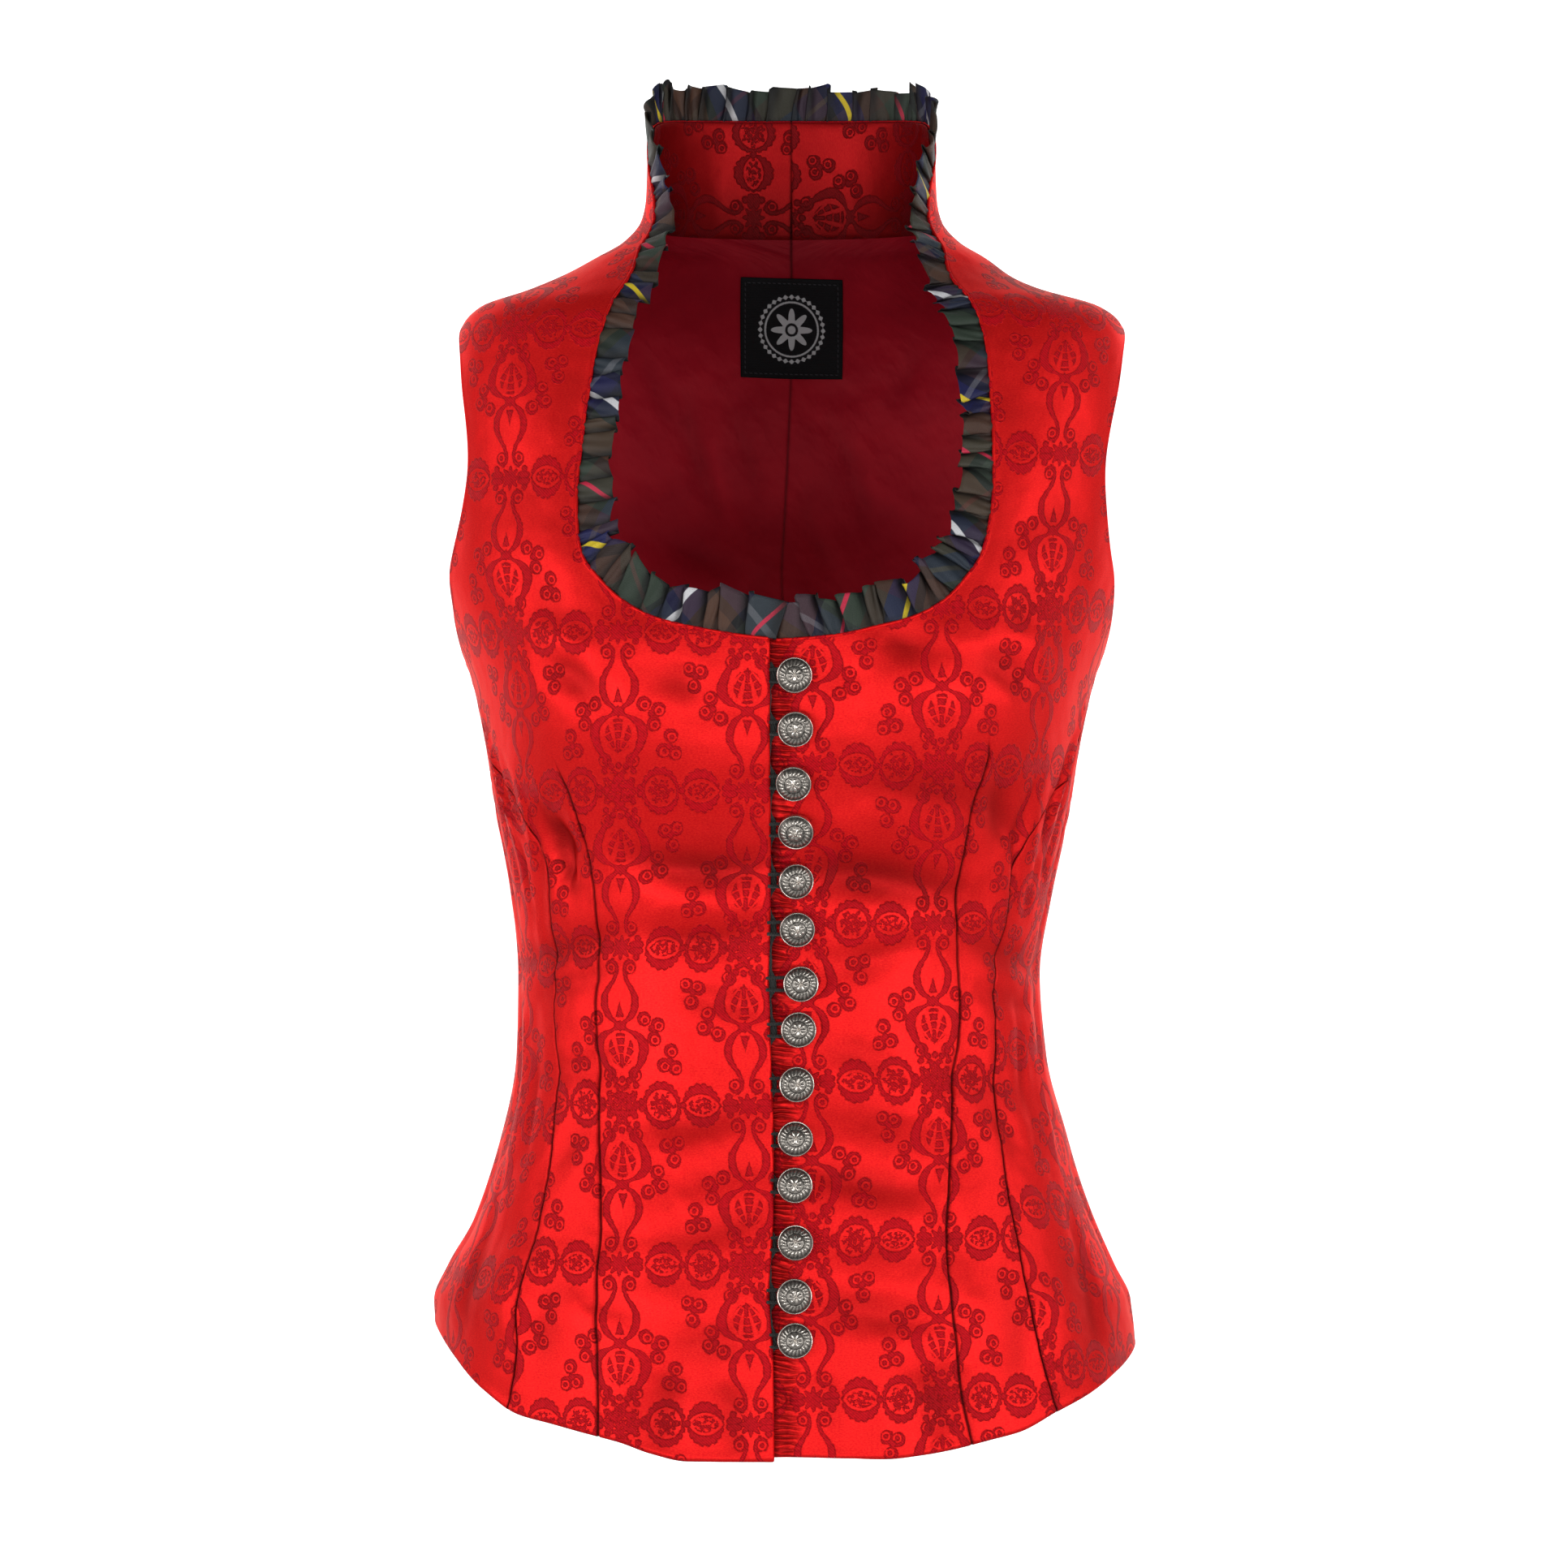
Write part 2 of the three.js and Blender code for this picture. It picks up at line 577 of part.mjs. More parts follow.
// A front with its collar side. Four patches follow each other down it, and in the last one
// the dart's column is bent to the dart's line.
function frontPanel(side) {
  const corner = frontCorner(side);
  const halfGap = GAP / 2;
  const hemAt = hems[side];
  const centreEdge = straightGuide(corner.angle, corner.z, hemAt(0));
  const sideSeam = shifted(seamGuide(FRONT_SIDE_SEAM, side, UNDERARM_FRONT.z), halfGap);
  const dartAngle = sideColumn(DART, 'z', side);
  const dartTop = side === RIGHT ? DART_TOP.right : DART_TOP.left;
  const dartShare = FRONT_COLUMNS[DART_COLUMN];
  const dartHead = between(corner, UNDERARM_FRONT, dartShare);
  const dartFoot = seamFoot(dartAngle, hemAt);

  const dartLine = (down) => {
    const z = dartHead.z + (dartFoot - dartHead.z) * down;
    return { angle: dartHead.angle + (dartAngle(z) - dartHead.angle) * smoothStep(0, 0.13, down), z };
  };
  const body = (down, over) => {
    if (over <= dartShare) return between(centreEdge(down), dartLine(down), over / dartShare);
    return between(dartLine(down), sideSeam(down), (over - dartShare) / (1 - dartShare));
  };
  const collar = across(neckGuides.collar, shifted(seamGuides.collar, halfGap));
  const shoulder = across(neckGuides.shoulder, shifted(seamGuides.shoulder, halfGap));
  const armhole = across(neckFrontGuide(side), shifted(armholeGuides.front, halfGap));
  const places = stackPatches(FRONT_COLUMNS, [
    { rows: FRONT_ROWS.collar, patch: headOn(collarTopAt, collar) },
    { rows: FRONT_ROWS.shoulder, patch: shoulder },
    { rows: FRONT_ROWS.armhole, patch: armhole },
    { rows: FRONT_ROWS.body, patch: footOn(hemAt, body) },
  ]);
  return onSide(places, side, (p) => {
    const offDart = (p.angle - dartAngle(p.z)) * MM_PER_DEGREE;
    const dart = DART_DEPTH * smoothStep(dartTop, dartTop - 25, p.z) * Math.exp(-((offDart / 2) ** 2));
    return dart + (side === LEFT ? underlapDepth(p.angle) : 0);
  });
}

function sidePanel(side) {
  const front = shifted(seamGuide(FRONT_SIDE_SEAM, side, UNDERARM_FRONT.z), -GAP / 2);
  const back = shifted(seamGuide(BACK_SIDE_SEAM, side, UNDERARM_BACK.z), GAP / 2);
  const patch = headOn(armholeBottomAt, footOn(hems[side], across(front, back)));
  const places = stackPatches(evenShares(SIDE_COLUMNS), [{ rows: FRONT_ROWS.body, patch }]);
  return onSide(places, side, () => 0);
}

// A back from the centre back out to the collar seam, the shoulder seam, the armhole and the
// back-side seam.
function backPanel(side) {
  const halfGap = GAP / 2;
  const hemAt = hems[side];
  const { collarTop, neck, shoulders, armholes } = CENTRE_BACK;
  const centre = (top, bottom) => shifted(straightGuide(180, top, bottom), halfGap);
  const sideSeam = seamGuide(BACK_SIDE_SEAM, side, UNDERARM_BACK.z);
  const collar = across(centre(collarTop, neck), shifted(seamGuides.collar, -halfGap));
  const shoulder = across(centre(neck, shoulders), shifted(seamGuides.shoulder, -halfGap));
  const armhole = across(centre(shoulders, armholes), shifted(armholeGuides.back, -halfGap));
  const body = across(centre(armholes, hemAt(180)), shifted(sideSeam, -halfGap));
  const places = stackPatches(evenShares(BACK_COLUMNS), [
    { rows: BACK_ROWS.collar, patch: headOn(collarTopAt, collar) },
    { rows: BACK_ROWS.shoulder, patch: shoulder },
    { rows: BACK_ROWS.armhole, patch: armhole },
    { rows: BACK_ROWS.body, patch: footOn(hemAt, body) },
  ]);
  return onSide(places, side, () => 0);
}

// The collar facing lies under the back's collar and, past the seam, under the front's.
function facingSolid(front, back) {
  const rows = BACK_ROWS.collar;
  const places = back.slice(0, rows + 1).map((row, i) => (
    [...row, ...FACING_FRONT_COLUMNS.map((column) => front[i][column])]
  ));
  const flat = places.map((row) => row.map((p) => ({ ...p, depth: 0 })));
  return liningWall(flat, rows * FACING_SHARE.top, rows * FACING_SHARE.foot);
}

function liningSolid(back) {
  const last = back.length - 1;
  const lastRowHeight = back[last - 1][0].z - back[last][0].z;
  return liningWall(back, BACK_ROWS.collar * LINING_TOP_SHARE, last - LINING_HEM_RISE / lastRowHeight);
}

function labelPatch() {
  const { fromX, toX, top, bottom, tilt, rows, columns } = LABEL;
  return evenShares(rows).map((down) => evenShares(columns).map((over) => {
    const z = top + (bottom - top) * down - tilt * over;
    return { angle: backAngle(fromX + (toX - fromX) * over, z), z, depth: LABEL_DEPTH };
  }));
}

// The cloth edge of one side as places, from the centre front up the neckline, over the
// collar's corner and along its top to the centre back.
function edgePlaces(front, back) {
  const neckRows = FRONT_ROWS.collar + FRONT_ROWS.shoulder + FRONT_ROWS.armhole;
  const neckline = front.slice(0, neckRows + 1).map((row) => row[0]).reverse();
  return [...neckline, ...front[0].slice(1), ...[...back[0]].reverse()];
}

// The left neckline starts where the right front's edge lets it show.
function fromAngle(places, angle) {
  const first = places.findIndex((p) => p.angle > angle);
  const [before, after] = [places[first - 1], places[first]];
  const start = between(before, after, (angle - before.angle) / (after.angle - before.angle));
  return [{ ...start, depth: before.depth }, ...places.slice(first)];
}

// The ruffle's root, with angles that run on from the right front round the back to the left.
function rootPath(panels) {
  const left = fromAngle(edgePlaces(panels.front_left, panels.back_left), RUFFLE_START_LEFT);
  const right = edgePlaces(panels.front_right, panels.back_right);
  const places = [...right, ...left.reverse().map((p) => ({ ...p, angle: p.angle - 360 }))];
  const points = places.map((p) => insidePoint(p.angle, p.z, p.depth + CLOTH_WALL / 2));
  const lengths = [0];
  for (let i = 1; i < points.length; i += 1) {
    lengths.push(lengths[i - 1] + points[i].distanceTo(points[i - 1]));
  }
  return { places, points, lengths, total: lengths[lengths.length - 1] };
}

function alongPath(path, length) {
  const last = path.lengths.length - 1;
  let i = 0;
  while (i < last - 1 && path.lengths[i + 1] < length) i += 1;
  const share = (length - path.lengths[i]) / (path.lengths[i + 1] - path.lengths[i]);
  const place = between(path.places[i], path.places[i + 1], share);
  return { point: path.points[i].clone().lerp(path.points[i + 1], share), place };
}

// Uneven widths and strengths for the pleats, the same on each build.
function pleatTable(total) {
  const count = Math.round(total / PLEAT_PITCH);
  const unevenness = (i) => 0.28 * Math.sin(2.4 * i) + 0.16 * Math.sin(5.3 * i + 1);
  const weights = Array.from({ length: count }, (_, i) => 1 + unevenness(i));
  const sum = weights.reduce((a, b) => a + b, 0);
  let start = 0;
  return weights.map((weight, i) => {
    const width = (weight / sum) * total;
    const pleat = { start, width, strength: 0.92 + 0.16 * Math.sin(3.7 * i + 2) };
    start += width;
    return pleat;
  });
}

function ruffleWidthAt(z) {
  const share = smoothStep(RUFFLE_NARROWS.from, RUFFLE_NARROWS.to, z);
  return RUFFLE_WIDTH_FRONT + (RUFFLE_WIDTH_COLLAR - RUFFLE_WIDTH_FRONT) * share;
}

// A column of ruffle points, from the root out to the free edge.
function ruffleColumn(path, length, pleat, phase) {
  const { point, place } = alongPath(path, length);
  const ahead = alongPath(path, Math.min(path.total, length + PATH_WINDOW)).point;
  const behind = alongPath(path, Math.max(0, length - PATH_WINDOW)).point;
  const normal = surfaceNormal(place.angle, place.z);
  const along = ahead.sub(behind).normalize();
  const off = along.clone().cross(normal).normalize();
  const toEnd = Math.min(length, path.total - length);
  off.lerp(RUFFLE_END_LEAN, 1 - smoothStep(0, RUFFLE_END_REACH, toEnd)).normalize();
  return evenShares(PLEAT_ROWS).map((share) => {
    const swing = PLEAT_SWING_ROOT + (PLEAT_SWING_EDGE - PLEAT_SWING_ROOT) * share;
    return point.clone()
      .addScaledVector(off, RUFFLE_ROOT_GAP + ruffleWidthAt(place.z) * share)
      .addScaledVector(normal, swing * pleat.width * pleat.strength * Math.sin(phase))
      .addScaledVector(along, PLEAT_LEAN * pleat.width * share * (Math.cos(phase) - 1));
  });
}

// Both faces of a thin wall about a grid of points.
function wallAbout(grid, wall) {
  const within = (k, count) => Math.min(count - 1, Math.max(0, k));
  const at = (i, j) => grid[within(i, grid.length)][within(j, grid[0].length)];
  const normals = grid.map((row, i) => row.map((_, j) => {
    const down = at(i + 1, j).clone().sub(at(i - 1, j));
    const over = at(i, j + 1).clone().sub(at(i, j - 1));
    return down.cross(over).normalize();
  }));
  const face = (offset) => grid.map((row, i) => (
    row.map((p, j) => p.clone().addScaledVector(normals[i][j], offset))
  ));
  return wallBetween(face(wall / 2), face(-wall / 2));
}

// The ruffle in three stretches, cut at the pleats nearest to the shoulder seams.
function ruffleStretches(panels) {
  const path = rootPath(panels);
  const pleats = pleatTable(path.total);
  const stretchOf = (pleat) => {
    const angle = -alongPath(path, pleat.start + pleat.width / 2).place.angle;
    if (angle < COLLAR_SEAM_TOP.angle) return 'ruffle_right';
    return angle > 360 - COLLAR_SEAM_TOP.angle ? 'ruffle_left' : 'ruffle_back';
  };
  return ['ruffle_right', 'ruffle_back', 'ruffle_left'].map((name) => {
    const own = pleats.filter((pleat) => stretchOf(pleat) === name);
    const columns = [];
    own.forEach((pleat, i) => {
      const steps = i === own.length - 1 ? PLEAT_STEPS + 1 : PLEAT_STEPS;
      for (let step = 0; step < steps; step += 1) {
        const ends = (i === 0 && step === 0 ? GAP / 2 : 0) - (step === PLEAT_STEPS ? GAP / 2 : 0);
        const length = pleat.start + (pleat.width * step) / PLEAT_STEPS + ends;
        columns.push(ruffleColumn(path, length, pleat, (2 * Math.PI * step) / PLEAT_STEPS));
      }
    });
    return { name, geometry: wallAbout(columns, RUFFLE_WALL) };
  });
}

// The angle at which the front or the back has a given distance from the middle plane.
function frontAngle(x, z) {
  let angle = 0;
  for (let round = 0; round < 12; round += 1) {
    angle = Math.asin((x - leanAt(z)) / radiusAt(angle, z)) / DEGREE;
  }
  return angle;
}

function backAngle(x, z) {
  let angle = 180;
  for (let round = 0; round < 12; round += 1) {
    angle = 180 - Math.asin((x - leanAt(z)) / radiusAt(angle, z)) / DEGREE;
  }
  return angle;
}

// A frame on the outer face at a button: x runs to the wearer's left, z stands off the cloth.
function buttonFrame(button) {
  const angle = frontAngle(button.x, button.z);
  const normal = surfaceNormal(angle, button.z);
  const over = new THREE.Vector3(0, 0, 1).cross(normal).normalize();
  const frame = new THREE.Matrix4().makeBasis(over, normal.clone().cross(over), normal);
  return frame.setPosition(surfacePoint(angle, button.z));
}

function buttonSolid() {
  const { radius, rim, dome, lift, sides } = BUTTON_SIZE;
  const shankFoot = BUTTON_SHANK.gap - UNDERLAP;
  const profile = [
    [0, shankFoot],
    [BUTTON_SHANK.radius, shankFoot],
    [BUTTON_SHANK.radius, lift],
    [radius * 0.9, lift],
    [radius, lift + rim],
    [radius * 0.78, lift + dome * 0.7],
    [radius * 0.4, lift + dome * 0.96],
    [0, lift + dome],
  ];
  const points = profile.map(([r, h]) => new THREE.Vector2(r, h));
  return new THREE.LatheGeometry(points, sides).rotateX(Math.PI / 2);
}

// A cord that leaves the right front's edge, passes round the shank and goes back.
function loopSolid(button) {
  const { cord, sides, steps, halfHeight, depth } = LOOP;
  const frame = buttonFrame(button);
  const edge = insidePoint(-RIGHT_EDGE_ANGLE, button.z, depth).applyMatrix4(frame.clone().invert());
  const root = edge.x + GAP + LOOP_CLEARANCE;
  const turn = halfHeight * Math.SQRT1_2;
  const route = [
    [root, halfHeight * 0.9],
    [-1, halfHeight],
    [turn, turn],
    [halfHeight, 0],
    [turn, -turn],
    [-1, -halfHeight],
    [root, -halfHeight * 0.9],
  ];
  const path = new THREE.CatmullRomCurve3(route.map(([x, y]) => new THREE.Vector3(x, y, -depth)));
  const section = new THREE.Shape(evenShares(sides).slice(1).map((share) => {
    const turned = 2 * Math.PI * share;
    return new THREE.Vector2((Math.cos(turned) * cord) / 2, (Math.sin(turned) * cord) / 2);
  }));
  const solid = new THREE.ExtrudeGeometry(section, { steps, extrudePath: path, bevelEnabled: false });
  return solid.applyMatrix4(frame);
}

const panels = {};
for (const [side, name] of [[RIGHT, 'right'], [LEFT, 'left']]) {
  panels[`front_${name}`] = frontPanel(side);
  panels[`side_${name}`] = sidePanel(side);
  panels[`back_${name}`] = backPanel(side);
}
for (const [name, places] of Object.entries(panels)) {
  addPiece(name, clothWall(places, CLOTH_WALL), 'damask');
}
for (const name of ['right', 'left']) {
  addPiece(`facing_${name}`, facingSolid(panels[`front_${name}`], panels[`back_${name}`]), 'damask');
  addPiece(`lining_${name}`, liningSolid(panels[`back_${name}`]), 'satin');
}
addPiece('label', clothWall(labelPatch(), LABEL_WALL), 'woven');
for (const { name, geometry } of ruffleStretches(panels)) addPiece(name, geometry, 'check');
BUTTONS.forEach((button, i) => {
  const number = String(i + 1).padStart(2, '0');
  addPiece(`button_${number}`, buttonSolid().applyMatrix4(buttonFrame(button)), 'pewter');
  addPiece(`loop_${number}`, loopSolid(button), 'cord');
});

export default group;
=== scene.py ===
"""A sleeveless damask bodice, filled out as if worn: cloth, ruffle, buttons, light and camera.

The tables are in millimetres, in the frame of the solids: +Z up, the front faces -Y and the
wearer's left is +X. Meshes are made in metres. A place on the garment is an angle (0 is the
centre front, 90 the wearer's left side, 180 the centre back) and a height.
"""

import math

import bpy
import numpy as np
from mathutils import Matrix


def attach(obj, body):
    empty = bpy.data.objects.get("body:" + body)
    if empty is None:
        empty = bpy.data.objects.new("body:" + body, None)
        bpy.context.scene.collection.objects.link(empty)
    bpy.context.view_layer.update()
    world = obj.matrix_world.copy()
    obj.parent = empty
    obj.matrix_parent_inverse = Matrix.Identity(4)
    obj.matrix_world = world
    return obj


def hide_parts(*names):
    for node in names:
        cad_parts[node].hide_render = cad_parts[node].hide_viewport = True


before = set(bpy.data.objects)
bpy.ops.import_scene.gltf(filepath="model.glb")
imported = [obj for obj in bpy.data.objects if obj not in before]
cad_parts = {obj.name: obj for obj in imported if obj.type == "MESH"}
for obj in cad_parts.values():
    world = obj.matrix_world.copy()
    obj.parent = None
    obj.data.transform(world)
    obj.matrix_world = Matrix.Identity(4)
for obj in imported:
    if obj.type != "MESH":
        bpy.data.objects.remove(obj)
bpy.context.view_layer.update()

MM = 0.001
RIGHT = -1
LEFT = 1
SIDE_NAMES = {RIGHT: "right", LEFT: "left"}
MM_PER_DEGREE = 2.3

CLOTH_WALL = 1.3
LINING_OUTER = 1.9
LINING_WALL = 0.7
FACING_WALL = 0.9
RUFFLE_WALL = 0.5
LABEL_WALL = 0.6


def table(columns, *rows):
    """Rows of values as dictionaries with named columns."""
    names = columns.split()
    return [dict(zip(names, row)) for row in rows]


SECTIONS = table(
    "z half_width front back roundness lean",
    (80, 66, 43, 54, 2.1, 3.8),
    (60, 66, 44, 55, 2.1, 3.8),
    (40, 66.5, 46, 57, 2.1, 3.8),
    (20, 67.2, 49, 60, 2.1, 3.8),
    (10, 69.3, 51, 62, 2.1, 3.8),
    (0, 77.6, 55, 65, 2.15, 3.8),
    (-7.5, 90.6, 58, 68, 2.2, 3.9),
    (-15, 104.6, 62, 72, 2.2, 4),
    (-22.5, 122.5, 66, 76, 2.2, 4.1),
    (-30, 144, 70, 80, 2.25, 4.2),
    (-37.5, 151.6, 74, 84, 2.3, 4.2),
    (-50, 156, 80, 89, 2.3, 3.9),
    (-75, 159, 90, 97, 2.3, 3),
    (-105, 158, 101, 103, 2.3, 1.6),
    (-125, 158.6, 108, 106, 2.3, 0.6),
    (-150, 159, 116, 108, 2.3, -0.7),
    (-172, 153.8, 120, 108, 2.3, 0),
    (-188, 148.4, 122, 107, 2.3, 0),
    (-202.5, 143.3, 122, 106, 2.3, 0),
    (-225, 138.2, 120, 103, 2.3, -0.1),
    (-262.5, 132, 111, 96, 2.3, -0.4),
    (-300, 125, 101, 88, 2.3, -0.8),
    (-337.5, 120.4, 95, 81, 2.3, -1.9),
    (-375, 122.3, 96, 83, 2.3, -0.8),
    (-412.5, 130.7, 101, 92, 2.3, 0.5),
    (-450, 143, 107, 102, 2.3, 0.5),
    (-472.5, 154.4, 110, 108, 2.3, -0.9),
    (-487.5, 161, 111, 111, 2.3, -0.5),
    (-502.5, 161.5, 112, 113, 2.3, 0.8),
    (-560, 163, 113, 115, 2.3, 1.5),
)

# The solids' own soft swellings and troughs: half spans in degrees and in millimetres.
FORMS = table(
    "angle z across along height slope",
    (-37, -214, 25, 42, 11, 0),
    (37, -214, 25, 42, 11, 0),
    (88, -20, 30, 9, -6.5, 0),
    (0, -222, 12, 40, -2, 0),
    (-20, -272, 18, 13, -3, 0.1),
    (22, -284, 18, 14, -2.6, 0.2),
    (-54, -278, 7, 15, -3, 0),
    (52, -264, 9, 17, -3.4, 0),
    (-22, -321, 15, 8, -1.6, -0.2),
    (-15, -424, 12, 9, -1.8, 0.3),
    (20, -396, 18, 12, -1.8, -0.4),
    (-28, -470, 16, 9, -1.5, 0.2),
    (25, -458, 14, 9, -1.5, -0.3),
    (-27, -532, 11, 22, -3, 0),
    (33, -528, 12, 20, -2.4, 0),
    (-76, -492, 9, 26, -2.6, 0),
    (74, -500, 9, 24, -2.4, 0),
    (-152, -338, 22, 9, -2, 0.3),
    (156, -352, 20, 9, -1.8, -0.3),
    (-138, -236, 13, 12, -1.6, -0.5),
    (134, -246, 14, 12, -1.6, 0.4),
)

# Creases of the front, from one end to the other, as distances from the centre line and
# heights. width is the half width, height is above zero for a ridge, bow bends the line.
FRONT_CREASES = table(
    "x0 z0 x1 z1 width height bow",
    (-68, -284, -7, -287, 9.8, -4.7, -3),
    (-66, -272, -12, -270, 9, 1, -2),
    (-60, -299, -14, -303, 10.5, 0.9, 0),
    (10, -291, 84, -303, 11.2, -4.5, 4),
    (20, -277, 78, -282, 9, 0.9, 3),
    (30, -252, 92, -262, 9, -2.1, 4),
    (-107, -264, -98, -294, 7.5, -6.7, 2),
    (-99, -278, -92, -290, 3.2, 1.6, 0),
    (-96, -262, -91, -275, 3, 1.1, 0),
    (-127, -238, -116, -300, 2.6, -1.5, 2),
    (-121, -246, -111, -306, 2.2, 0.9, 2),
    (-118, -252, -108, -318, 2.2, -1.3, 1),
    (-111, -248, -104, -276, 2, 0.9, 1),
    (-126, -300, -117, -356, 2.4, -0.9, -2),
    (124, -244, 119, -292, 2.8, -1.7, -2),
    (118, -248, 113, -300, 2.4, 0.9, -2),
    (113, -250, 104, -306, 2.8, -1.9, -2),
    (122, -300, 115, -352, 2.4, -0.9, 2),
    (97, -246, 104, -276, 6.9, -2.9, -2),
    (-106, -196, -84, -215, 8.2, -3.4, 3),
    (-112, -180, -88, -194, 7.5, 1.5, 3),
    (-58, -202, -38, -210, 8.2, -2.9, 2),
    (-28, -206, -6, -214, 6, -1.1, 1),
    (44, -182, 66, -189, 8.2, -2.7, -2),
    (86, -194, 110, -208, 8.2, -2.9, 2),
    (98, -180, 118, -196, 6.8, 1.3, 2),
    (12, -206, 34, -200, 6, -0.9, -1),
    (-5, -222, -40, -226, 5.2, -0.8, -1),
    (-5, -247, -34, -252, 3.4, -0.7, 1),
    (-5, -314, -58, -320, 6.9, -2, 2),
    (-72, -318, -118, -330, 6.9, -2.6, 2),
    (-70, -332, -112, -345, 6, -1.8, 1),
    (14, -332, 62, -322, 6.9, -1.9, -2),
    (84, -322, 117, -334, 6.9, -2.5, -2),
    (86, -344, 114, -352, 6, -1.8, 1),
    (-6, -352, -48, -344, 6.3, -1.7, 0),
    (-14, -392, -62, -402, 8.2, -2.1, 3),
    (-70, -378, -112, -384, 7.5, -1.6, -2),
    (66, -380, 110, -392, 7.5, -1.7, 2),
    (16, -368, 52, -378, 7.5, -1.9, 2),
    (12, -420, 64, -430, 8.2, -2.4, -3),
    (-10, -440, -58, -452, 7.8, -2.2, 3),
    (-86, -400, -104, -424, 7.5, -1.5, -2),
    (90, -392, 108, -418, 7.5, -1.5, 2),
    (70, -440, 86, -478, 7.5, -1.2, 2),
    (-64, -430, -84, -470, 7.5, -1, -2),
    (14, -478, 66, -488, 9, -2.5, -3),
    (-12, -494, -52, -502, 8.2, -2.2, 2),
    (-60, -486, -92, -478, 7.5, -1.6, 2),
    (-30, -516, -18, -547, 9, -2.5, 2),
    (-48, -512, -52, -540, 8.2, -1.7, -2),
    (-70, -508, -74, -540, 9, 1.5, 1),
    (-100, -470, -110, -512, 9, -2.2, -3),
    (-128, -452, -138, -500, 9, -1.9, -3),
    (-118, -478, -126, -516, 7.5, 1.2, 0),
    (100, -470, 106, -522, 9, -1.9, 3),
    (128, -462, 140, -508, 9, -2.1, 3),
    (118, -480, 124, -520, 7.5, 1.1, 0),
    (62, -512, 70, -542, 8.2, -1.9, 2),
    (40, -520, 44, -546, 7.5, 1.2, 0),
    (12, -512, 26, -540, 8.2, -1.5, 2),
    (-128, -60, -104, -84, 9, -1.2, 3),
    (-134, -104, -112, -128, 9, -1.1, 3),
    (-120, -150, -102, -182, 9, -1.5, 4),
    (130, -64, 108, -92, 9, -1.1, -3),
    (136, -120, 112, -140, 9, -1.2, -3),
    (124, -156, 104, -186, 9, -1.6, -4),
    (-92, -24, -66, -58, 7.5, -1, 3),
    (96, -22, 74, -60, 7.5, -0.9, -3),
)

# Long narrow pulls of the side panels, from one end to the other as angles and heights.
SIDE_CREASES = table(
    "angle0 z0 angle1 z1 width height bow",
    (-79, -222, -72, -300, 2.6, -2.4, 1),
    (-76, -214, -68, -282, 2.2, 1.7, -1),
    (-71, -236, -66, -318, 2.4, -2.1, 1),
    (-68, -262, -65, -330, 2.0, 1.4, 1),
    (-84, -236, -78, -322, 2.8, -2, -2),
    (-82, -330, -76, -420, 2.8, -1.8, 2),
    (-74, -346, -70, -440, 2.6, 1.5, -2),
    (-68, -352, -66, -426, 2.4, -1.7, 1),
    (-80, -420, -84, -488, 3.4, -2.4, -2),
    (-72, -430, -70, -500, 3.2, -2, 2),
    (78, -218, 71, -296, 2.6, -2.4, -1),
    (75, -210, 67, -276, 2.2, 1.7, 1),
    (70, -230, 65, -312, 2.4, -2.1, -1),
    (83, -232, 77, -318, 2.8, -2.1, 2),
    (80, -326, 74, -414, 2.8, -1.8, -2),
    (72, -342, 69, -436, 2.6, 1.5, 2),
    (66, -350, 64, -420, 2.4, -1.7, -1),
    (79, -424, 84, -490, 3.4, -2.4, 2),
    (70, -436, 68, -502, 3.2, -1.8, -2),
    (-96, -218, -104, -292, 3.4, -2.1, 2),
    (-92, -240, -98, -330, 3.0, 1.5, -2),
    (-104, -340, -110, -420, 3.6, -2, 2),
    (96, -214, 105, -290, 3.4, -2.1, -2),
    (91, -244, 97, -334, 3.0, 1.5, 2),
    (104, -346, 111, -424, 3.6, -2, -2),
)

# The same for the back and the far part of the sides, x as distance on the back.
BACK_CREASES = table(
    "x0 z0 x1 z1 width height bow",
    (-118, -196, -84, -232, 6, -1.6, 4),
    (-104, -210, -66, -236, 5.5, -1.2, 3),
    (116, -200, 80, -238, 6, -1.6, -4),
    (98, -222, 58, -246, 5.5, -1.2, -3),
    (-110, -318, -58, -326, 5, -1.6, 3),
    (-96, -336, -28, -344, 5.5, -1.7, -3),
    (-84, -356, -44, -362, 4.5, -1.2, 2),
    (108, -322, 60, -332, 5, -1.5, -3),
    (92, -342, 24, -350, 5.5, -1.7, 3),
    (80, -362, 34, -368, 4.5, -1.1, -2),
    (-60, -300, -18, -306, 5, -1.0, 0),
    (54, -296, 14, -304, 5, -1.0, 0),
    (-124, -430, -132, -488, 6, -1.8, -3),
    (-84, -450, -92, -516, 7, -1.5, -3),
    (-40, -462, -44, -530, 7, 1.2, 0),
    (126, -436, 134, -492, 6, -1.8, 3),
    (86, -448, 96, -516, 7, -1.5, 3),
    (38, -460, 44, -532, 7, 1.2, 0),
    (-6, -470, -12, -534, 6, -1.1, 0),
    (-112, -70, -86, -104, 6, -1.1, -4),
    (110, -74, 82, -108, 6, -1.1, 4),
    (-60, -60, -20, -66, 6, -1.0, 2),
    (56, -58, 16, -64, 6, -0.9, -2),
    (-124, -132, -96, -160, 6, -1.2, -4),
    (122, -136, 96, -164, 6, -1.2, 4),
)

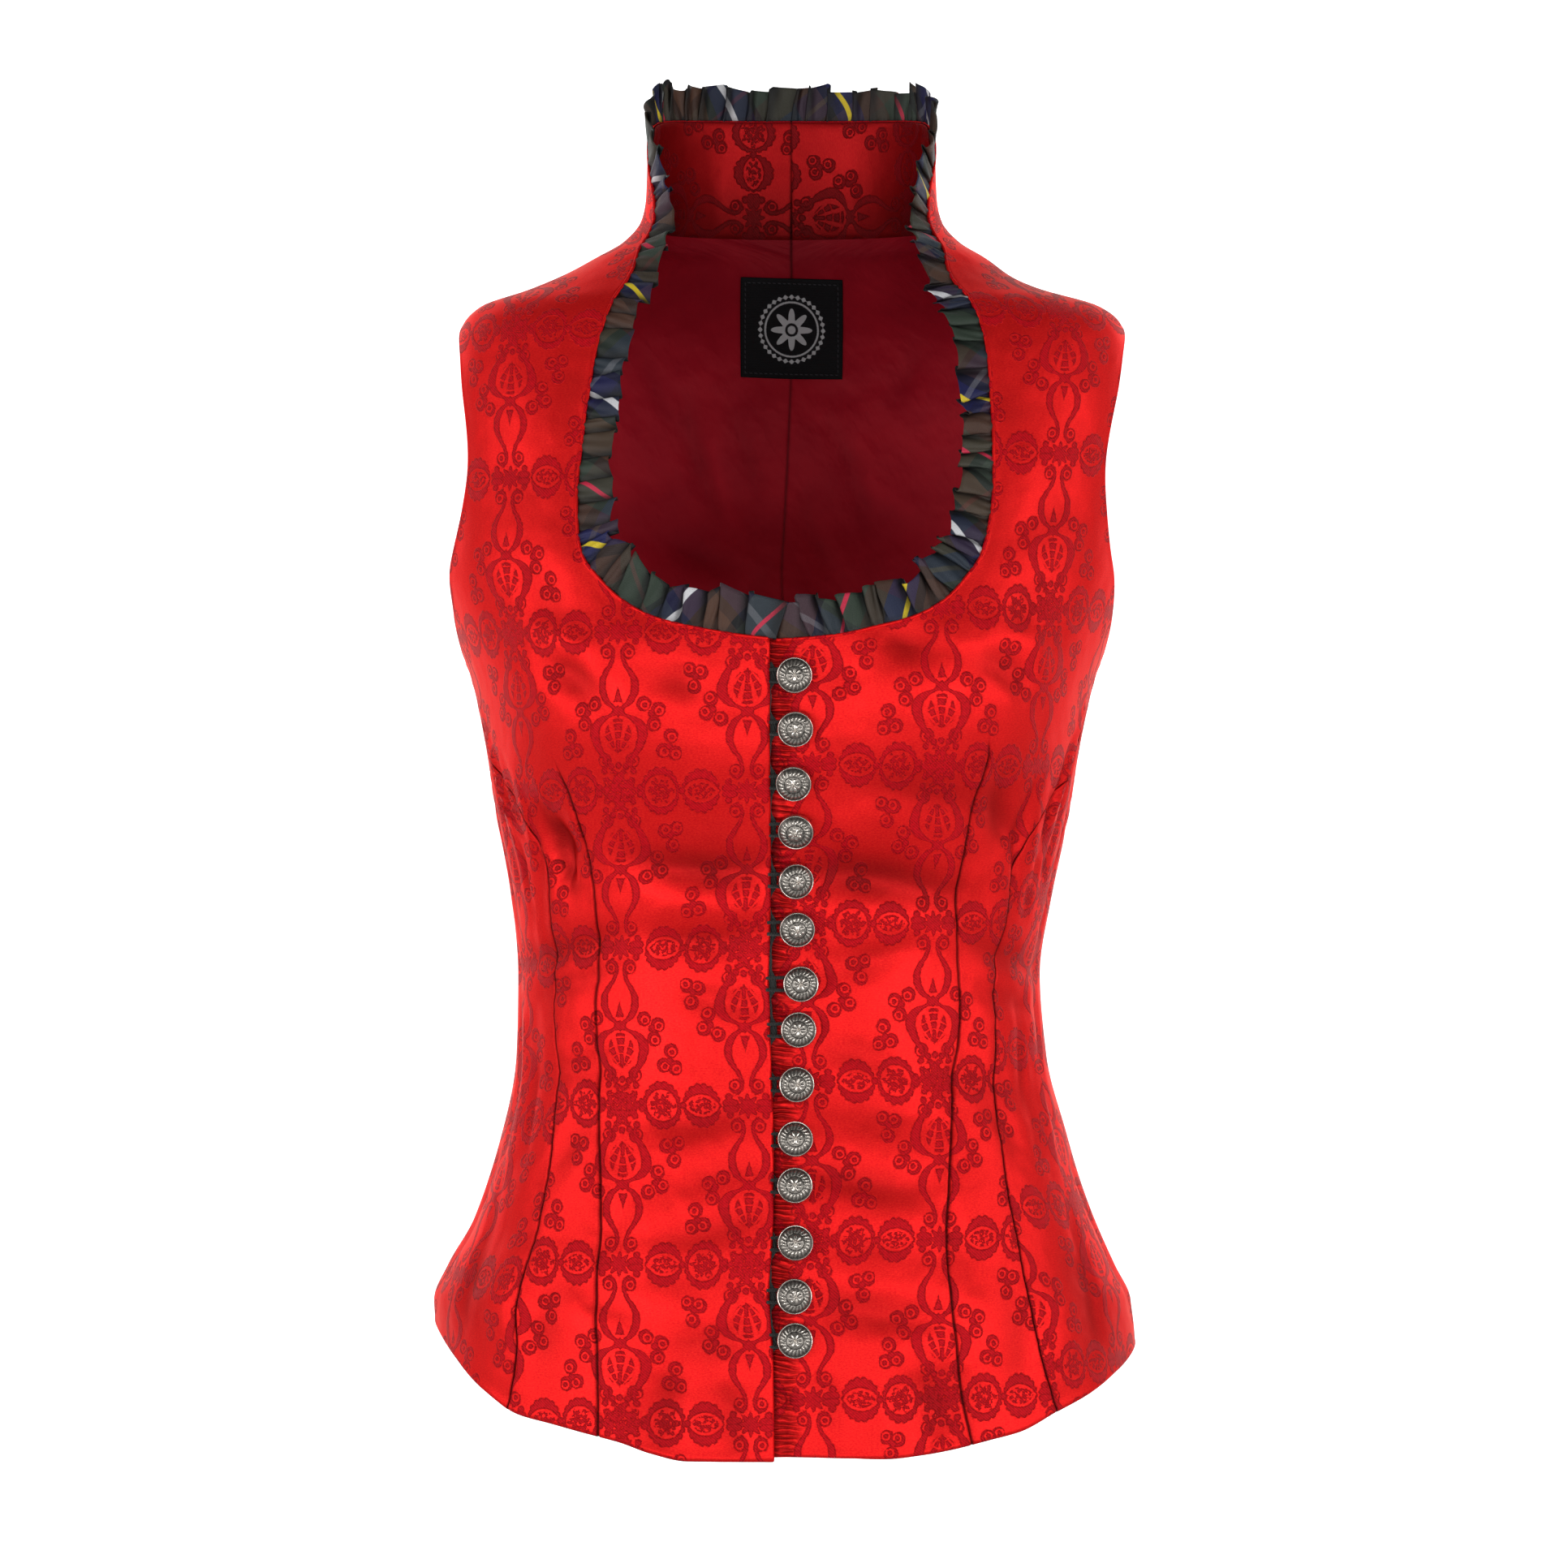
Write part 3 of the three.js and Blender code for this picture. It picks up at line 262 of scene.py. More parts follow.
# Soft wrinkles of the back lining, seen through the neckline.
LINING_CREASES = table(
    "x0 z0 x1 z1 width height bow",
    (-46, -64, -30, -120, 5, -1.3, 4),
    (-34, -84, -20, -132, 4, 0.9, 3),
    (-26, -70, -12, -110, 4, -0.9, -2),
    (22, -76, 40, -126, 5, -1.1, -4),
    (34, -100, 62, -118, 4.5, 0.8, 2),
    (10, -112, 26, -150, 4.5, -0.9, 3),
    (-66, -40, -52, -78, 5, -0.9, 3),
    (62, -36, 50, -70, 5, -0.8, -3),
    (-60, -130, -22, -146, 5, -1.1, 3),
    (-10, -150, -20, -196, 5, -0.9, 2),
    (44, -150, 60, -176, 5, -0.8, 2),
    (-74, 2, -30, 1, 2.5, -0.6, 0),
    (74, 2, 26, 0, 2.5, -0.6, 0),
    (-70, -210, -30, -230, 6, -1.0, 2),
    (66, -216, 26, -236, 6, -1.0, 2),
)

COLLAR_CORNER = (95, 51)
NECK_POINT = (68, 6)
STRAP_POINT = (51, -54)
NECK_BOTTOM = (0, -185.5)
COLLAR_FRONT = [(90, 45), (83.5, 36), (77, 26), (73, 17.5)]
NECK_SHOULDER = [(63.5, -3), (58.5, -11), (55.1, -19), (52.8, -32)]
NECK_FRONT = [
    (49, -79), (47.4, -98.5), (46, -116), (44, -132), (40.9, -148.4),
    (37.6, -157), (33.2, -166.5), (26.5, -175.2), (18, -180.3), (9, -183.8),
]
COLLAR_SEAM_TOP = (108, 57.5)
SHOULDER_NECK = (106, 4)
SHOULDER_TIP = (93.5, -35)
UNDERARM_FRONT = (87, -193.5)
UNDERARM_BACK = (106.2, -162)
COLLAR_SEAM = [(107, 38), (106.5, 18)]
SHOULDER_SEAM = [(102, -5), (98, -17), (95.4, -27)]
ARMHOLE_FRONT = [
    (86.8, -41), (81.8, -50), (75.8, -75), (72, -105), (71.6, -127),
    (73.4, -150), (77.8, -172), (82.6, -186),
]
ARMHOLE_BACK = [(96.5, -42), (99.6, -53), (104.9, -77), (108.5, -105), (109.2, -128)]
ARMHOLE_BOTTOM = table(
    "angle z", (87, -193.5), (92, -195), (97, -190), (102, -178.5), (106.2, -162),
)
FRONT_SIDE_SEAM = table(
    "z right left",
    (-193.5, 87, 87), (-222, 81, 80.5), (-241, 73, 74), (-256, 65.8, 67),
    (-272, 61.5, 61.3), (-291, 59.3, 58.2), (-314, 60.2, 58.8), (-341, 61, 57.9),
    (-375, 59.3, 56), (-404, 57.8, 53.8), (-441, 56.2, 52.3), (-475, 55.6, 52.5),
    (-500, 55.6, 53), (-540, 58.4, 57),
)
DART = table(
    "z right left",
    (-189, 51.5, 51), (-208, 48.5, 43), (-228, 47.5, 40.6), (-239, 47.5, 42.1),
    (-256, 46.6, 42.7), (-294, 46.2, 43.7), (-346, 48, 47.2), (-397, 46.3, 42.3),
    (-426, 43.6, 39.3), (-456, 41.4, 37.2), (-500, 40, 37), (-545, 39.9, 39.6),
)
BACK_SIDE_SEAM = table(
    "z right left",
    (-162, 106.2, 106.2), (-190, 110, 110), (-240, 116, 116), (-300, 121, 121),
    (-345, 122.5, 122.5), (-400, 120, 120), (-460, 117, 117), (-520, 116, 116),
)
DART_TOP = {RIGHT: -238, LEFT: -227}
DART_DEPTH = 1.3
DART_WIDTH = 0.5
DART_FADE = 14
HEM = table(
    "angle right left",
    (0, -551.3, -549.6), (22, -551.3, -550.3), (30, -548, -548.7), (36, -543.4, -546.6),
    (43, -539.6, -543), (49, -536.3, -539.8), (56, -532.8, -532.3), (63, -524, -526),
    (74, -509.5, -516.5), (90, -498.5, -508.5), (110, -506, -511.5), (135, -523, -524),
    (160, -534, -534), (180, -537, -537),
)
COLLAR_TOP = table(
    "angle z", (95, 51), (99, 54.6), (108, 57.5), (122, 59.5), (150, 61), (180, 61.5),
)
RIGHT_EDGE_ANGLE = 2.9
LEFT_EDGE_ANGLE = -11
UNDERLAP = 3
UNDERLAP_ZONE = (11, 21)
DART_SHARE = 0.59
CENTRE_BACK = {"collar_top": 61.5, "neck": 3, "shoulders": -60, "armholes": -165}
BUTTONS = table(
    "x z",
    (5.0, -201.9), (5.4, -225.3), (4.8, -249.4), (5.8, -270.7), (5.4, -293.2),
    (6.2, -314.7), (8.0, -339.5), (6.9, -360.1), (5.8, -384.4), (5.4, -408.9),
    (5.4, -429.3), (5.4, -454.8), (4.7, -478.0), (5.4, -497.8),
)


def smooth_column(rows, source, target):
    """A curve through a table's column that never overshoots its rows (monotone cubic)."""
    points = sorted((row[source], row[target]) for row in rows)
    x = np.array([p[0] for p in points], float)
    y = np.array([p[1] for p in points], float)
    span = np.diff(x)
    rise = np.diff(y) / span
    slope = np.zeros_like(x)
    slope[0] = rise[0]
    slope[-1] = rise[-1]
    for i in range(1, len(x) - 1):
        if rise[i - 1] * rise[i] > 0:
            w1 = 2 * span[i] + span[i - 1]
            w2 = span[i] + 2 * span[i - 1]
            slope[i] = (w1 + w2) / (w1 / rise[i - 1] + w2 / rise[i])

    def curve(at):
        at = np.clip(at, x[0], x[-1])
        i = np.clip(np.searchsorted(x, at, side="right") - 1, 0, len(x) - 2)
        t = (at - x[i]) / span[i]
        h = t * t * (3 - 2 * t)
        ease = slope[i] * t * (1 - t) ** 2 + slope[i + 1] * t * t * (t - 1)
        return y[i] * (1 - h) + y[i + 1] * h + span[i] * ease

    return curve


def smooth_step(start, end, at):
    t = np.clip((at - start) / (end - start), 0, 1)
    return t * t * (3 - 2 * t)


def bell(distance, width):
    """1 in the middle, and about a third at a width to either side."""
    return np.exp(-((distance / width) ** 2))


half_width_at = smooth_column(SECTIONS, "z", "half_width")
front_at = smooth_column(SECTIONS, "z", "front")
back_at = smooth_column(SECTIONS, "z", "back")
roundness_at = smooth_column(SECTIONS, "z", "roundness")
lean_at = smooth_column(SECTIONS, "z", "lean")
collar_top_at = smooth_column(COLLAR_TOP, "angle", "z")
armhole_bottom_at = smooth_column(ARMHOLE_BOTTOM, "angle", "z")
hem_at = {side: smooth_column(HEM, "angle", name) for side, name in SIDE_NAMES.items()}


def turn_between(angle, other):
    return (angle - other + 540) % 360 - 180


def ring_radius(angle, z):
    """The plain section's radius, without forms and creases."""
    sine = np.abs(np.sin(np.radians(angle)))
    cosine = np.cos(np.radians(angle))
    depth = np.where(cosine > 0, front_at(z), back_at(z))
    power = roundness_at(z)
    total = (sine / half_width_at(z)) ** power + (np.abs(cosine) / depth) ** power
    return total ** (-1 / power)


def form_height(angle, z):
    height = 0
    for form in FORMS:
        turn = turn_between(angle, form["angle"])
        across = turn / form["across"]
        along = (z - form["z"] - form["slope"] * turn) / form["along"]
        height = height + form["height"] * np.exp(-(across ** 2) - along ** 2)
    return height


def angle_on(face, x, z):
    """The angle at which the front (0) or the back (180) has a distance from the middle."""
    angle = face + 0.0 * z
    for _ in range(12):
        radius = ring_radius(angle, z) + form_height(angle, z)
        turn = np.degrees(np.arcsin(np.clip((x - lean_at(z)) / radius, -1, 1)))
        angle = turn if face == 0 else 180 - turn
    return angle


def crease_lines(face, rows):
    """Creases with their ends as angles, so that they can be measured along the cloth."""
    lines = []
    for row in rows:
        start = row["angle0"] if face is None else angle_on(face, row["x0"], row["z0"])
        end = row["angle1"] if face is None else angle_on(face, row["x1"], row["z1"])
        reach_x = float(turn_between(end, start)) * MM_PER_DEGREE
        reach_z = row["z1"] - row["z0"]
        length = math.hypot(reach_x, reach_z)
        direction = {"ux": reach_x / length, "uz": reach_z / length}
        lines.append({**row, **direction, "angle": start, "length": length})
    return lines


def crease_height(lines, angle, z):
    """Soft troughs and ridges that fade out towards both ends."""
    height = 0
    for line in lines:
        over = turn_between(angle, line["angle"]) * MM_PER_DEGREE
        up = z - line["z0"]
        share = (over * line["ux"] + up * line["uz"]) / line["length"]
        inside = np.clip(share, 0, 1)
        off = over * -line["uz"] + up * line["ux"] - line["bow"] * 4 * inside * (1 - inside)
        ends = (share - inside) * line["length"] / line["width"]
        fade = 0.35 + 0.65 * np.sin(np.pi * inside) ** 0.8
        height = height + line["height"] * fade * np.exp(-((off / line["width"]) ** 2) - ends ** 2)
    return height


CLOTH_LINES = [
    *crease_lines(0, FRONT_CREASES),
    *crease_lines(180, BACK_CREASES),
    *crease_lines(None, SIDE_CREASES),
]
LINING_LINES = crease_lines(180, LINING_CREASES)


def radius_at(angle, z):
    return ring_radius(angle, z) + form_height(angle, z) + crease_height(CLOTH_LINES, angle, z)


def surface_point(angle, z):
    radius = radius_at(angle, z)
    x = lean_at(z) + radius * np.sin(np.radians(angle))
    y = -radius * np.cos(np.radians(angle))
    return np.stack([x, y, z + np.zeros_like(x)], axis=-1)


def unit(vectors):
    return vectors / np.maximum(np.linalg.norm(vectors, axis=-1, keepdims=True), 1e-12)


def surface_normal(angle, z):
    around = surface_point(angle + 0.25, z) - surface_point(angle - 0.25, z)
    up = surface_point(angle, z + 0.5) - surface_point(angle, z - 0.5)
    return unit(np.cross(around, up))


def run_lengths(points):
    """The length along a line of points, at each of them."""
    return np.concatenate([[0], np.cumsum(np.linalg.norm(np.diff(points, axis=0), axis=1))])


# Curves and patches on the garment. A place is a pair of arrays, angle and height.
def guide(places):
    """A smooth curve through places (centripetal Catmull-Rom), by share of its length."""
    p = np.array([(angle * MM_PER_DEGREE, z) for angle, z in places], float)
    p = np.vstack([2 * p[0] - p[1], p, 2 * p[-1] - p[-2]])
    t = np.linspace(0, 1, 60)[:, None]
    pieces = []
    for q0, q1, q2, q3 in zip(p, p[1:], p[2:], p[3:]):
        d0, d1, d2 = (np.linalg.norm(b - a) ** 0.5 for a, b in ((q0, q1), (q1, q2), (q2, q3)))
        m1 = ((q1 - q0) / d0 - (q2 - q0) / (d0 + d1) + (q2 - q1) / d1) * d1
        m2 = ((q2 - q1) / d1 - (q3 - q1) / (d1 + d2) + (q3 - q2) / d2) * d1
        bend = (1 - t) ** 2 * t * m1 - (1 - t) * t * t * m2
        h = t * t * (3 - 2 * t)
        pieces.append(q1 * (1 - h) + q2 * h + bend)
    points = np.vstack(pieces)
    lengths = run_lengths(points)
    shares = lengths / lengths[-1]

    def at(share):
        angle = np.interp(share, shares, points[:, 0]) / MM_PER_DEGREE
        return angle, np.interp(share, shares, points[:, 1])

    return at


def seam_foot(angle_at, side):
    z = float(hem_at[side](90))
    for _ in range(20):
        z = float(hem_at[side](angle_at(z)))
    return z


def seam_guide(rows, side, top):
    angle_at = smooth_column(rows, "z", SIDE_NAMES[side])
    foot = seam_foot(angle_at, side)

    def at(share):
        z = top + (foot - top) * share
        return angle_at(z), z

    return at


def straight_guide(angle, top, bottom):
    return lambda share: (angle + 0 * share, top + (bottom - top) * share)


def between(a, b, share):
    return a[0] + (b[0] - a[0]) * share, a[1] + (b[1] - a[1]) * share


def across(inner, outer):
    return lambda down, over: between(inner(down), outer(down), over)


def foot_on(edge_at, patch):
    def bent(down, over):
        foot_angle, foot_z = patch(np.ones_like(down), over)
        angle, z = patch(down, over)
        return angle, z + (edge_at(np.abs(foot_angle)) - foot_z) * down ** 2

    return bent


def head_on(edge_at, patch):
    def bent(down, over):
        head_angle, head_z = patch(np.zeros_like(down), over)
        angle, z = patch(down, over)
        return angle, z + (edge_at(head_angle) - head_z) * (1 - down) ** 2

    return bent


NECK_GUIDES = {
    "collar": guide([COLLAR_CORNER, *COLLAR_FRONT, NECK_POINT]),
    "shoulder": guide([NECK_POINT, *NECK_SHOULDER, STRAP_POINT]),
}
SEAM_GUIDES = {
    "collar": guide([COLLAR_SEAM_TOP, *COLLAR_SEAM, SHOULDER_NECK]),
    "shoulder": guide([SHOULDER_NECK, *SHOULDER_SEAM, SHOULDER_TIP]),
}
ARMHOLE_GUIDES = {
    "front": guide([SHOULDER_TIP, *ARMHOLE_FRONT, UNDERARM_FRONT]),
    "back": guide([SHOULDER_TIP, *ARMHOLE_BACK, UNDERARM_BACK]),
}


PATCH_ROWS = {"collar": 18, "shoulder": 34, "front_armhole": 56, "back_armhole": 40, "body": 130}


def front_patches(side):
    """A front's patches, with their rows and the kind of their outer edge, and its dart's angle."""
    if side == RIGHT:
        corner = (RIGHT_EDGE_ANGLE, NECK_BOTTOM[1] + 0.2)
        neckline = guide([STRAP_POINT, *NECK_FRONT, corner])
    else:
        corner = (LEFT_EDGE_ANGLE, NECK_BOTTOM[1] - 1)
        neckline = guide([STRAP_POINT, *NECK_FRONT, NECK_BOTTOM, corner])
    centre_edge = straight_guide(corner[0], corner[1], float(hem_at[side](0)))
    side_seam = seam_guide(FRONT_SIDE_SEAM, side, UNDERARM_FRONT[1])
    dart_angle = smooth_column(DART, "z", SIDE_NAMES[side])
    head_angle, head_z = between(corner, UNDERARM_FRONT, DART_SHARE)
    foot_z = seam_foot(dart_angle, side)

    def dart_line(down):
        z = head_z + (foot_z - head_z) * down
        return head_angle + (dart_angle(z) - head_angle) * smooth_step(0, 0.13, down), z

    def body(down, over):
        inner = between(centre_edge(down), dart_line(down), over / DART_SHARE)
        outer = between(dart_line(down), side_seam(down), (over - DART_SHARE) / (1 - DART_SHARE))
        near = over <= DART_SHARE
        return np.where(near, inner[0], outer[0]), np.where(near, inner[1], outer[1])

    collar = head_on(collar_top_at, across(NECK_GUIDES["collar"], SEAM_GUIDES["collar"]))
    patches = [
        (PATCH_ROWS["collar"], "seam", collar),
        (PATCH_ROWS["shoulder"], "seam", across(NECK_GUIDES["shoulder"], SEAM_GUIDES["shoulder"])),
        (PATCH_ROWS["front_armhole"], "open", across(neckline, ARMHOLE_GUIDES["front"])),
        (PATCH_ROWS["body"], "seam", foot_on(hem_at[side], body)),
    ]
    return patches, dart_angle


def side_patches(side):
    front = seam_guide(FRONT_SIDE_SEAM, side, UNDERARM_FRONT[1])
    back = seam_guide(BACK_SIDE_SEAM, side, UNDERARM_BACK[1])
    body = head_on(armhole_bottom_at, foot_on(hem_at[side], across(front, back)))
    return [(PATCH_ROWS["body"], "seam", body)]


def back_patches(side):
    top, neck = CENTRE_BACK["collar_top"], CENTRE_BACK["neck"]
    shoulders, armholes = CENTRE_BACK["shoulders"], CENTRE_BACK["armholes"]
    side_seam = seam_guide(BACK_SIDE_SEAM, side, UNDERARM_BACK[1])
    collar = across(straight_guide(180, top, neck), SEAM_GUIDES["collar"])
    shoulder = across(straight_guide(180, neck, shoulders), SEAM_GUIDES["shoulder"])
    armhole = across(straight_guide(180, shoulders, armholes), ARMHOLE_GUIDES["back"])
    body = across(straight_guide(180, armholes, float(hem_at[side](180))), side_seam)
    return [
        (PATCH_ROWS["collar"], "seam", head_on(collar_top_at, collar)),
        (PATCH_ROWS["shoulder"], "seam", shoulder),
        (PATCH_ROWS["back_armhole"], "open", armhole),
        (PATCH_ROWS["body"], "seam", foot_on(hem_at[side], body)),
    ]


# Columns and rows stand close together beside edges and seams, at these distances.
NEAR_EDGE = np.array([0, 0.45, 1.0, 1.8, 3.2])
NEAR_LIMIT = 3.5
NEAR_SHARE = 0.3


def spread(widths, count):
    """Shares across a width, one row for each width, with close ones at both ends."""
    scale = np.minimum(1, NEAR_SHARE * widths / NEAR_EDGE[-1])[:, None]
    near = NEAR_EDGE[None, :] * scale / widths[:, None]
    inner_from = near[:, -1:]
    inner = inner_from + (1 - 2 * inner_from) * np.linspace(0, 1, count)[None, :]
    return np.hstack([near[:, :-1], inner, 1 - near[:, -2::-1]])


def lengths_across(patch, down, start, end):
    over = np.linspace(start, end, 10)[None, :] + 0 * down
    points = surface_point(*patch(down, over))
    return np.linalg.norm(np.diff(points, axis=1), axis=2).sum(axis=1)


def block_height(patch):
    """The height of a patch, down its middle."""
    foot = patch(np.ones((1, 1)), 0.5)[1]
    return abs(float(np.mean(foot - patch(np.zeros((1, 1)), 0.5)[1])))


def panel_places(patches, side, counts, split=None):
    """A panel's grid of places, and for each row the kind of its outer edge."""
    angles, heights, kinds, blocks = [], [], [], []
    for number, (rows, kind, patch) in enumerate(patches):
        down = np.linspace(0, 1, rows + 1)
        drop = block_height(patch)
        if number == len(patches) - 1:
            down = np.unique(np.concatenate([down[down < 1 - NEAR_LIMIT / drop], 1 - NEAR_EDGE / drop]))
        if number == 0:
            down = np.unique(np.concatenate([down[down > NEAR_LIMIT / drop], NEAR_EDGE / drop]))
        if number > 0:
            down = down[1:]
        down = down[:, None]
        if split is None:
            over = spread(lengths_across(patch, down, 0, 1), counts[0])
        else:
            inner = spread(lengths_across(patch, down, 0, split), counts[0]) * split
            outer = spread(lengths_across(patch, down, split, 1), counts[1]) * (1 - split) + split
            over = np.hstack([inner, outer[:, 1:]])
        angle, z = patch(down + 0 * over, over)
        angles.append(angle)
        heights.append(z)
        kinds += [kind] * len(down)
        blocks += [number] * len(down)
    return {
        "angle": side * np.vstack(angles),
        "z": np.vstack(heights),
        "kinds": np.array(kinds),
        "blocks": np.array(blocks),
        "side": side,
    }


def distances(points):
    """How far each point of a grid lies from its four edges, along the rows and columns."""
    along = np.linalg.norm(np.diff(points, axis=1), axis=2)
    down = np.linalg.norm(np.diff(points, axis=0), axis=2)
    inner = np.hstack([np.zeros((points.shape[0], 1)), np.cumsum(along, axis=1)])
    top = np.vstack([np.zeros((1, points.shape[1])), np.cumsum(down, axis=0)])
    return {"inner": inner, "outer": inner[:, -1:] - inner, "top": top, "foot": top[-1:] - top}


def rolled_edge(distance):
    """Depth of a turned cloth edge: it rounds down at the very edge behind a soft roll."""
    return 0.45 * bell(distance, 0.4) - 0.2 * bell(distance - 1.5, 1.1)


SEAM = {"groove": 0.7, "groove_width": 0.36, "pucker": 0.16, "pucker_width": 4.5}


def sewn_edge(distance, height):
    """Depth beside a seam: a narrow groove, a soft shoulder and small puckers."""
    waves = np.sin(height / 1.35 + 1.7 * np.sin(height / 6.1))
    pucker = SEAM["pucker"] * waves * bell(distance, SEAM["pucker_width"])
    return SEAM["groove"] * bell(distance, SEAM["groove_width"]) + pucker


SEAM_BLEND_ROWS = 9
HOLLOW = {"shade": 0.135, "crease_from": 0.4, "form_from": 0.6, "form_share": 0.6, "deepest": 4}
FRONT_EDGE_X = -5.6


def seam_shade(distance):
    return 0.95 * bell(distance, 0.55) + 0.12 * bell(distance, 3.0)


def panel_depth(places, points, inner_kind, dart_angle=None):
    """How far the outer face lies under the garment surface, and its tone: painted shade in the seams,
    beside the right front's edge and in the hollows of creases and forms.
    """
    reach = distances(points)
    z = places["z"]
    seam_rows = np.pad(places["kinds"] == "seam", SEAM_BLEND_ROWS // 2, mode="edge").astype(float)
    sewn = np.convolve(seam_rows, np.ones(SEAM_BLEND_ROWS) / SEAM_BLEND_ROWS, "valid")[:, None]
    shade = sewn * seam_shade(reach["outer"])
    if inner_kind == "seam":
        shade = np.maximum(shade, seam_shade(reach["inner"]))
    depth = sewn * sewn_edge(reach["outer"], z) + (1 - sewn) * rolled_edge(reach["outer"])
    depth += sewn_edge(reach["inner"], z) if inner_kind == "seam" else rolled_edge(reach["inner"])
    depth += rolled_edge(reach["top"]) + rolled_edge(reach["foot"])
    if dart_angle is not None:
        angle = np.abs(places["angle"])
        radius = ring_radius(angle, z)
        off = np.abs(angle - dart_angle(z)) * np.radians(1) * radius
        dart_top = DART_TOP[places["side"]]
        start = smooth_step(dart_top, dart_top - DART_FADE, z)
        depth += start * (sewn_edge(off, z) + (DART_DEPTH - SEAM["groove"]) * bell(off, DART_WIDTH))
        shade = np.maximum(shade, start * seam_shade(off))
        if places["side"] == LEFT:
            signed = places["angle"]
            depth += UNDERLAP * (1 - smooth_step(*UNDERLAP_ZONE, signed))
    # Painted shadow on the left front beside the overlapping edge of the right front.
    if places["side"] == LEFT:
        x = lean_at(z) + ring_radius(places["angle"], z) * np.sin(np.radians(places["angle"]))
        shade = np.maximum(shade, 0.9 * bell(x - FRONT_EDGE_X, 2.0))
    # Painted shade in the troughs of the creases and the hollows of the forms.
    trough = np.maximum(-crease_height(CLOTH_LINES, places["angle"], z) - HOLLOW["crease_from"], 0)
    dip = np.clip(-form_height(places["angle"], z) - HOLLOW["form_from"], 0, HOLLOW["deepest"])
    hollow = np.clip(trough + dip * HOLLOW["form_share"], 0, HOLLOW["deepest"])
    return depth, np.clip(1 - shade, 0, 1) * (1 - HOLLOW["shade"] * hollow)


# Flat cloth coordinates, so that the woven pattern keeps its size on the curved panels.
ARC_HEIGHTS = np.linspace(-560, 80, 129)
ARC_ANGLES = np.linspace(0, 180, 181)
PATTERN_TURN = -75
COLLAR_GRAIN_X = 62
SHOULDER_BEND = -42
SHOULDER_GRAIN = 0.6
COLLAR_BLEND = (-8, 12)


def ring_points(angle, z):
    radius = ring_radius(angle, z) + form_height(angle, z)
    return radius * np.sin(np.radians(angle)), -radius * np.cos(np.radians(angle))


def arc_table():
    angle, z = np.meshgrid(ARC_ANGLES, ARC_HEIGHTS)
    x, y = ring_points(angle, z)
    steps = np.hypot(np.diff(x, axis=1), np.diff(y, axis=1))
    return np.hstack([np.zeros((len(ARC_HEIGHTS), 1)), np.cumsum(steps, axis=1)])


ARCS = arc_table()


def arc_at(angle, z):
    """Length round the section from the centre front to an angle, never below zero."""
    row = np.clip((z - ARC_HEIGHTS[0]) / (ARC_HEIGHTS[1] - ARC_HEIGHTS[0]), 0, len(ARC_HEIGHTS) - 1.001)
    column = np.clip(np.abs(angle), 0, 179.999)
    i, j = row.astype(int), column.astype(int)
    u, v = row - i, column - j
    low = ARCS[i, j] * (1 - v) + ARCS[i, j + 1] * v
    high = ARCS[i + 1, j] * (1 - v) + ARCS[i + 1, j + 1] * v
    return low * (1 - u) + high * u


def depth_at(x, z, face):
    """Distance of the front or back surface from the side plane, at a distance x."""
    power = roundness_at(z)
    inside = np.clip(1 - (np.abs(x) / half_width_at(z)) ** power, 0, 1)
    return (front_at(z) if face == 0 else back_at(z)) * inside ** (1 / power)


def flat_cloth(angle, z, face):
    """Flat coordinates of a front or back: across from the centre line, and up."""
    turned = np.abs(angle)
    total = arc_at(turned * 0 + 180, z)
    arc = arc_at(turned, z)
    across_ring = arc if face == 0 else total - arc
    x = np.abs(ring_points(turned, z)[0])
    ring_x, _ = ring_points(ARC_ANGLES, PATTERN_TURN)
    ring_arc = arc_at(ARC_ANGLES, ARC_ANGLES * 0 + PATTERN_TURN)
    if face != 0:
        ring_x, ring_arc = ring_x[::-1], ring_arc[-1] - ring_arc[::-1]
    widest = int(np.argmax(ring_x))
    along_x = np.interp(x, ring_x[:widest], ring_arc[:widest])
    # Past the bend the grain leans towards the neck, as the shoulder line slopes.
    over_top = depth_at(x, np.full_like(z, SHOULDER_BEND), face) - depth_at(x, z, face)
    along_x = along_x + SHOULDER_GRAIN * np.where(z > SHOULDER_BEND, np.maximum(over_top, 0), 0)
    grain = np.degrees(np.arcsin(np.clip(COLLAR_GRAIN_X / ring_radius(60.0, z), -1, 1)))
    grain_arc = arc_at(grain if face == 0 else 180 - grain, z)
    grain_arc = grain_arc if face == 0 else total - grain_arc
    along_collar = np.interp(COLLAR_GRAIN_X, ring_x[:widest], ring_arc[:widest]) + across_ring - grain_arc
    over_shoulder = along_x + (along_collar - along_x) * smooth_step(*COLLAR_BLEND, z)
    u = np.where(z < PATTERN_TURN, across_ring, over_shoulder)
    steps = np.linspace(0, 1, 40)
    heights = PATTERN_TURN + (np.maximum(z, PATTERN_TURN) - PATTERN_TURN)[..., None] * steps
    depths = depth_at(x[..., None], heights, face)
    climb = np.hypot(np.diff(heights, axis=-1), np.diff(depths, axis=-1)).sum(axis=-1)
    v = np.where(z < PATTERN_TURN, z, PATTERN_TURN + climb)
    return np.sign(angle) * u, v


# Meshes from grids of points.
def grid_faces(rows, columns, start, flip):
    i, j = np.meshgrid(np.arange(rows - 1), np.arange(columns - 1), indexing="ij")
    a = start + i * columns + j
    quads = np.stack([a, a + columns, a + columns + 1, a + 1], axis=-1).reshape(-1, 4)
    return quads[:, ::-1] if flip else quads


def rim_indices(rows, columns):
    """The border of a grid, once round."""
    top = [(0, j) for j in range(columns)]
    right = [(i, columns - 1) for i in range(1, rows)]
    bottom = [(rows - 1, j) for j in range(columns - 2, -1, -1)]
    left = [(i, 0) for i in range(rows - 2, 0, -1)]
    return np.array(top + right + bottom + left)


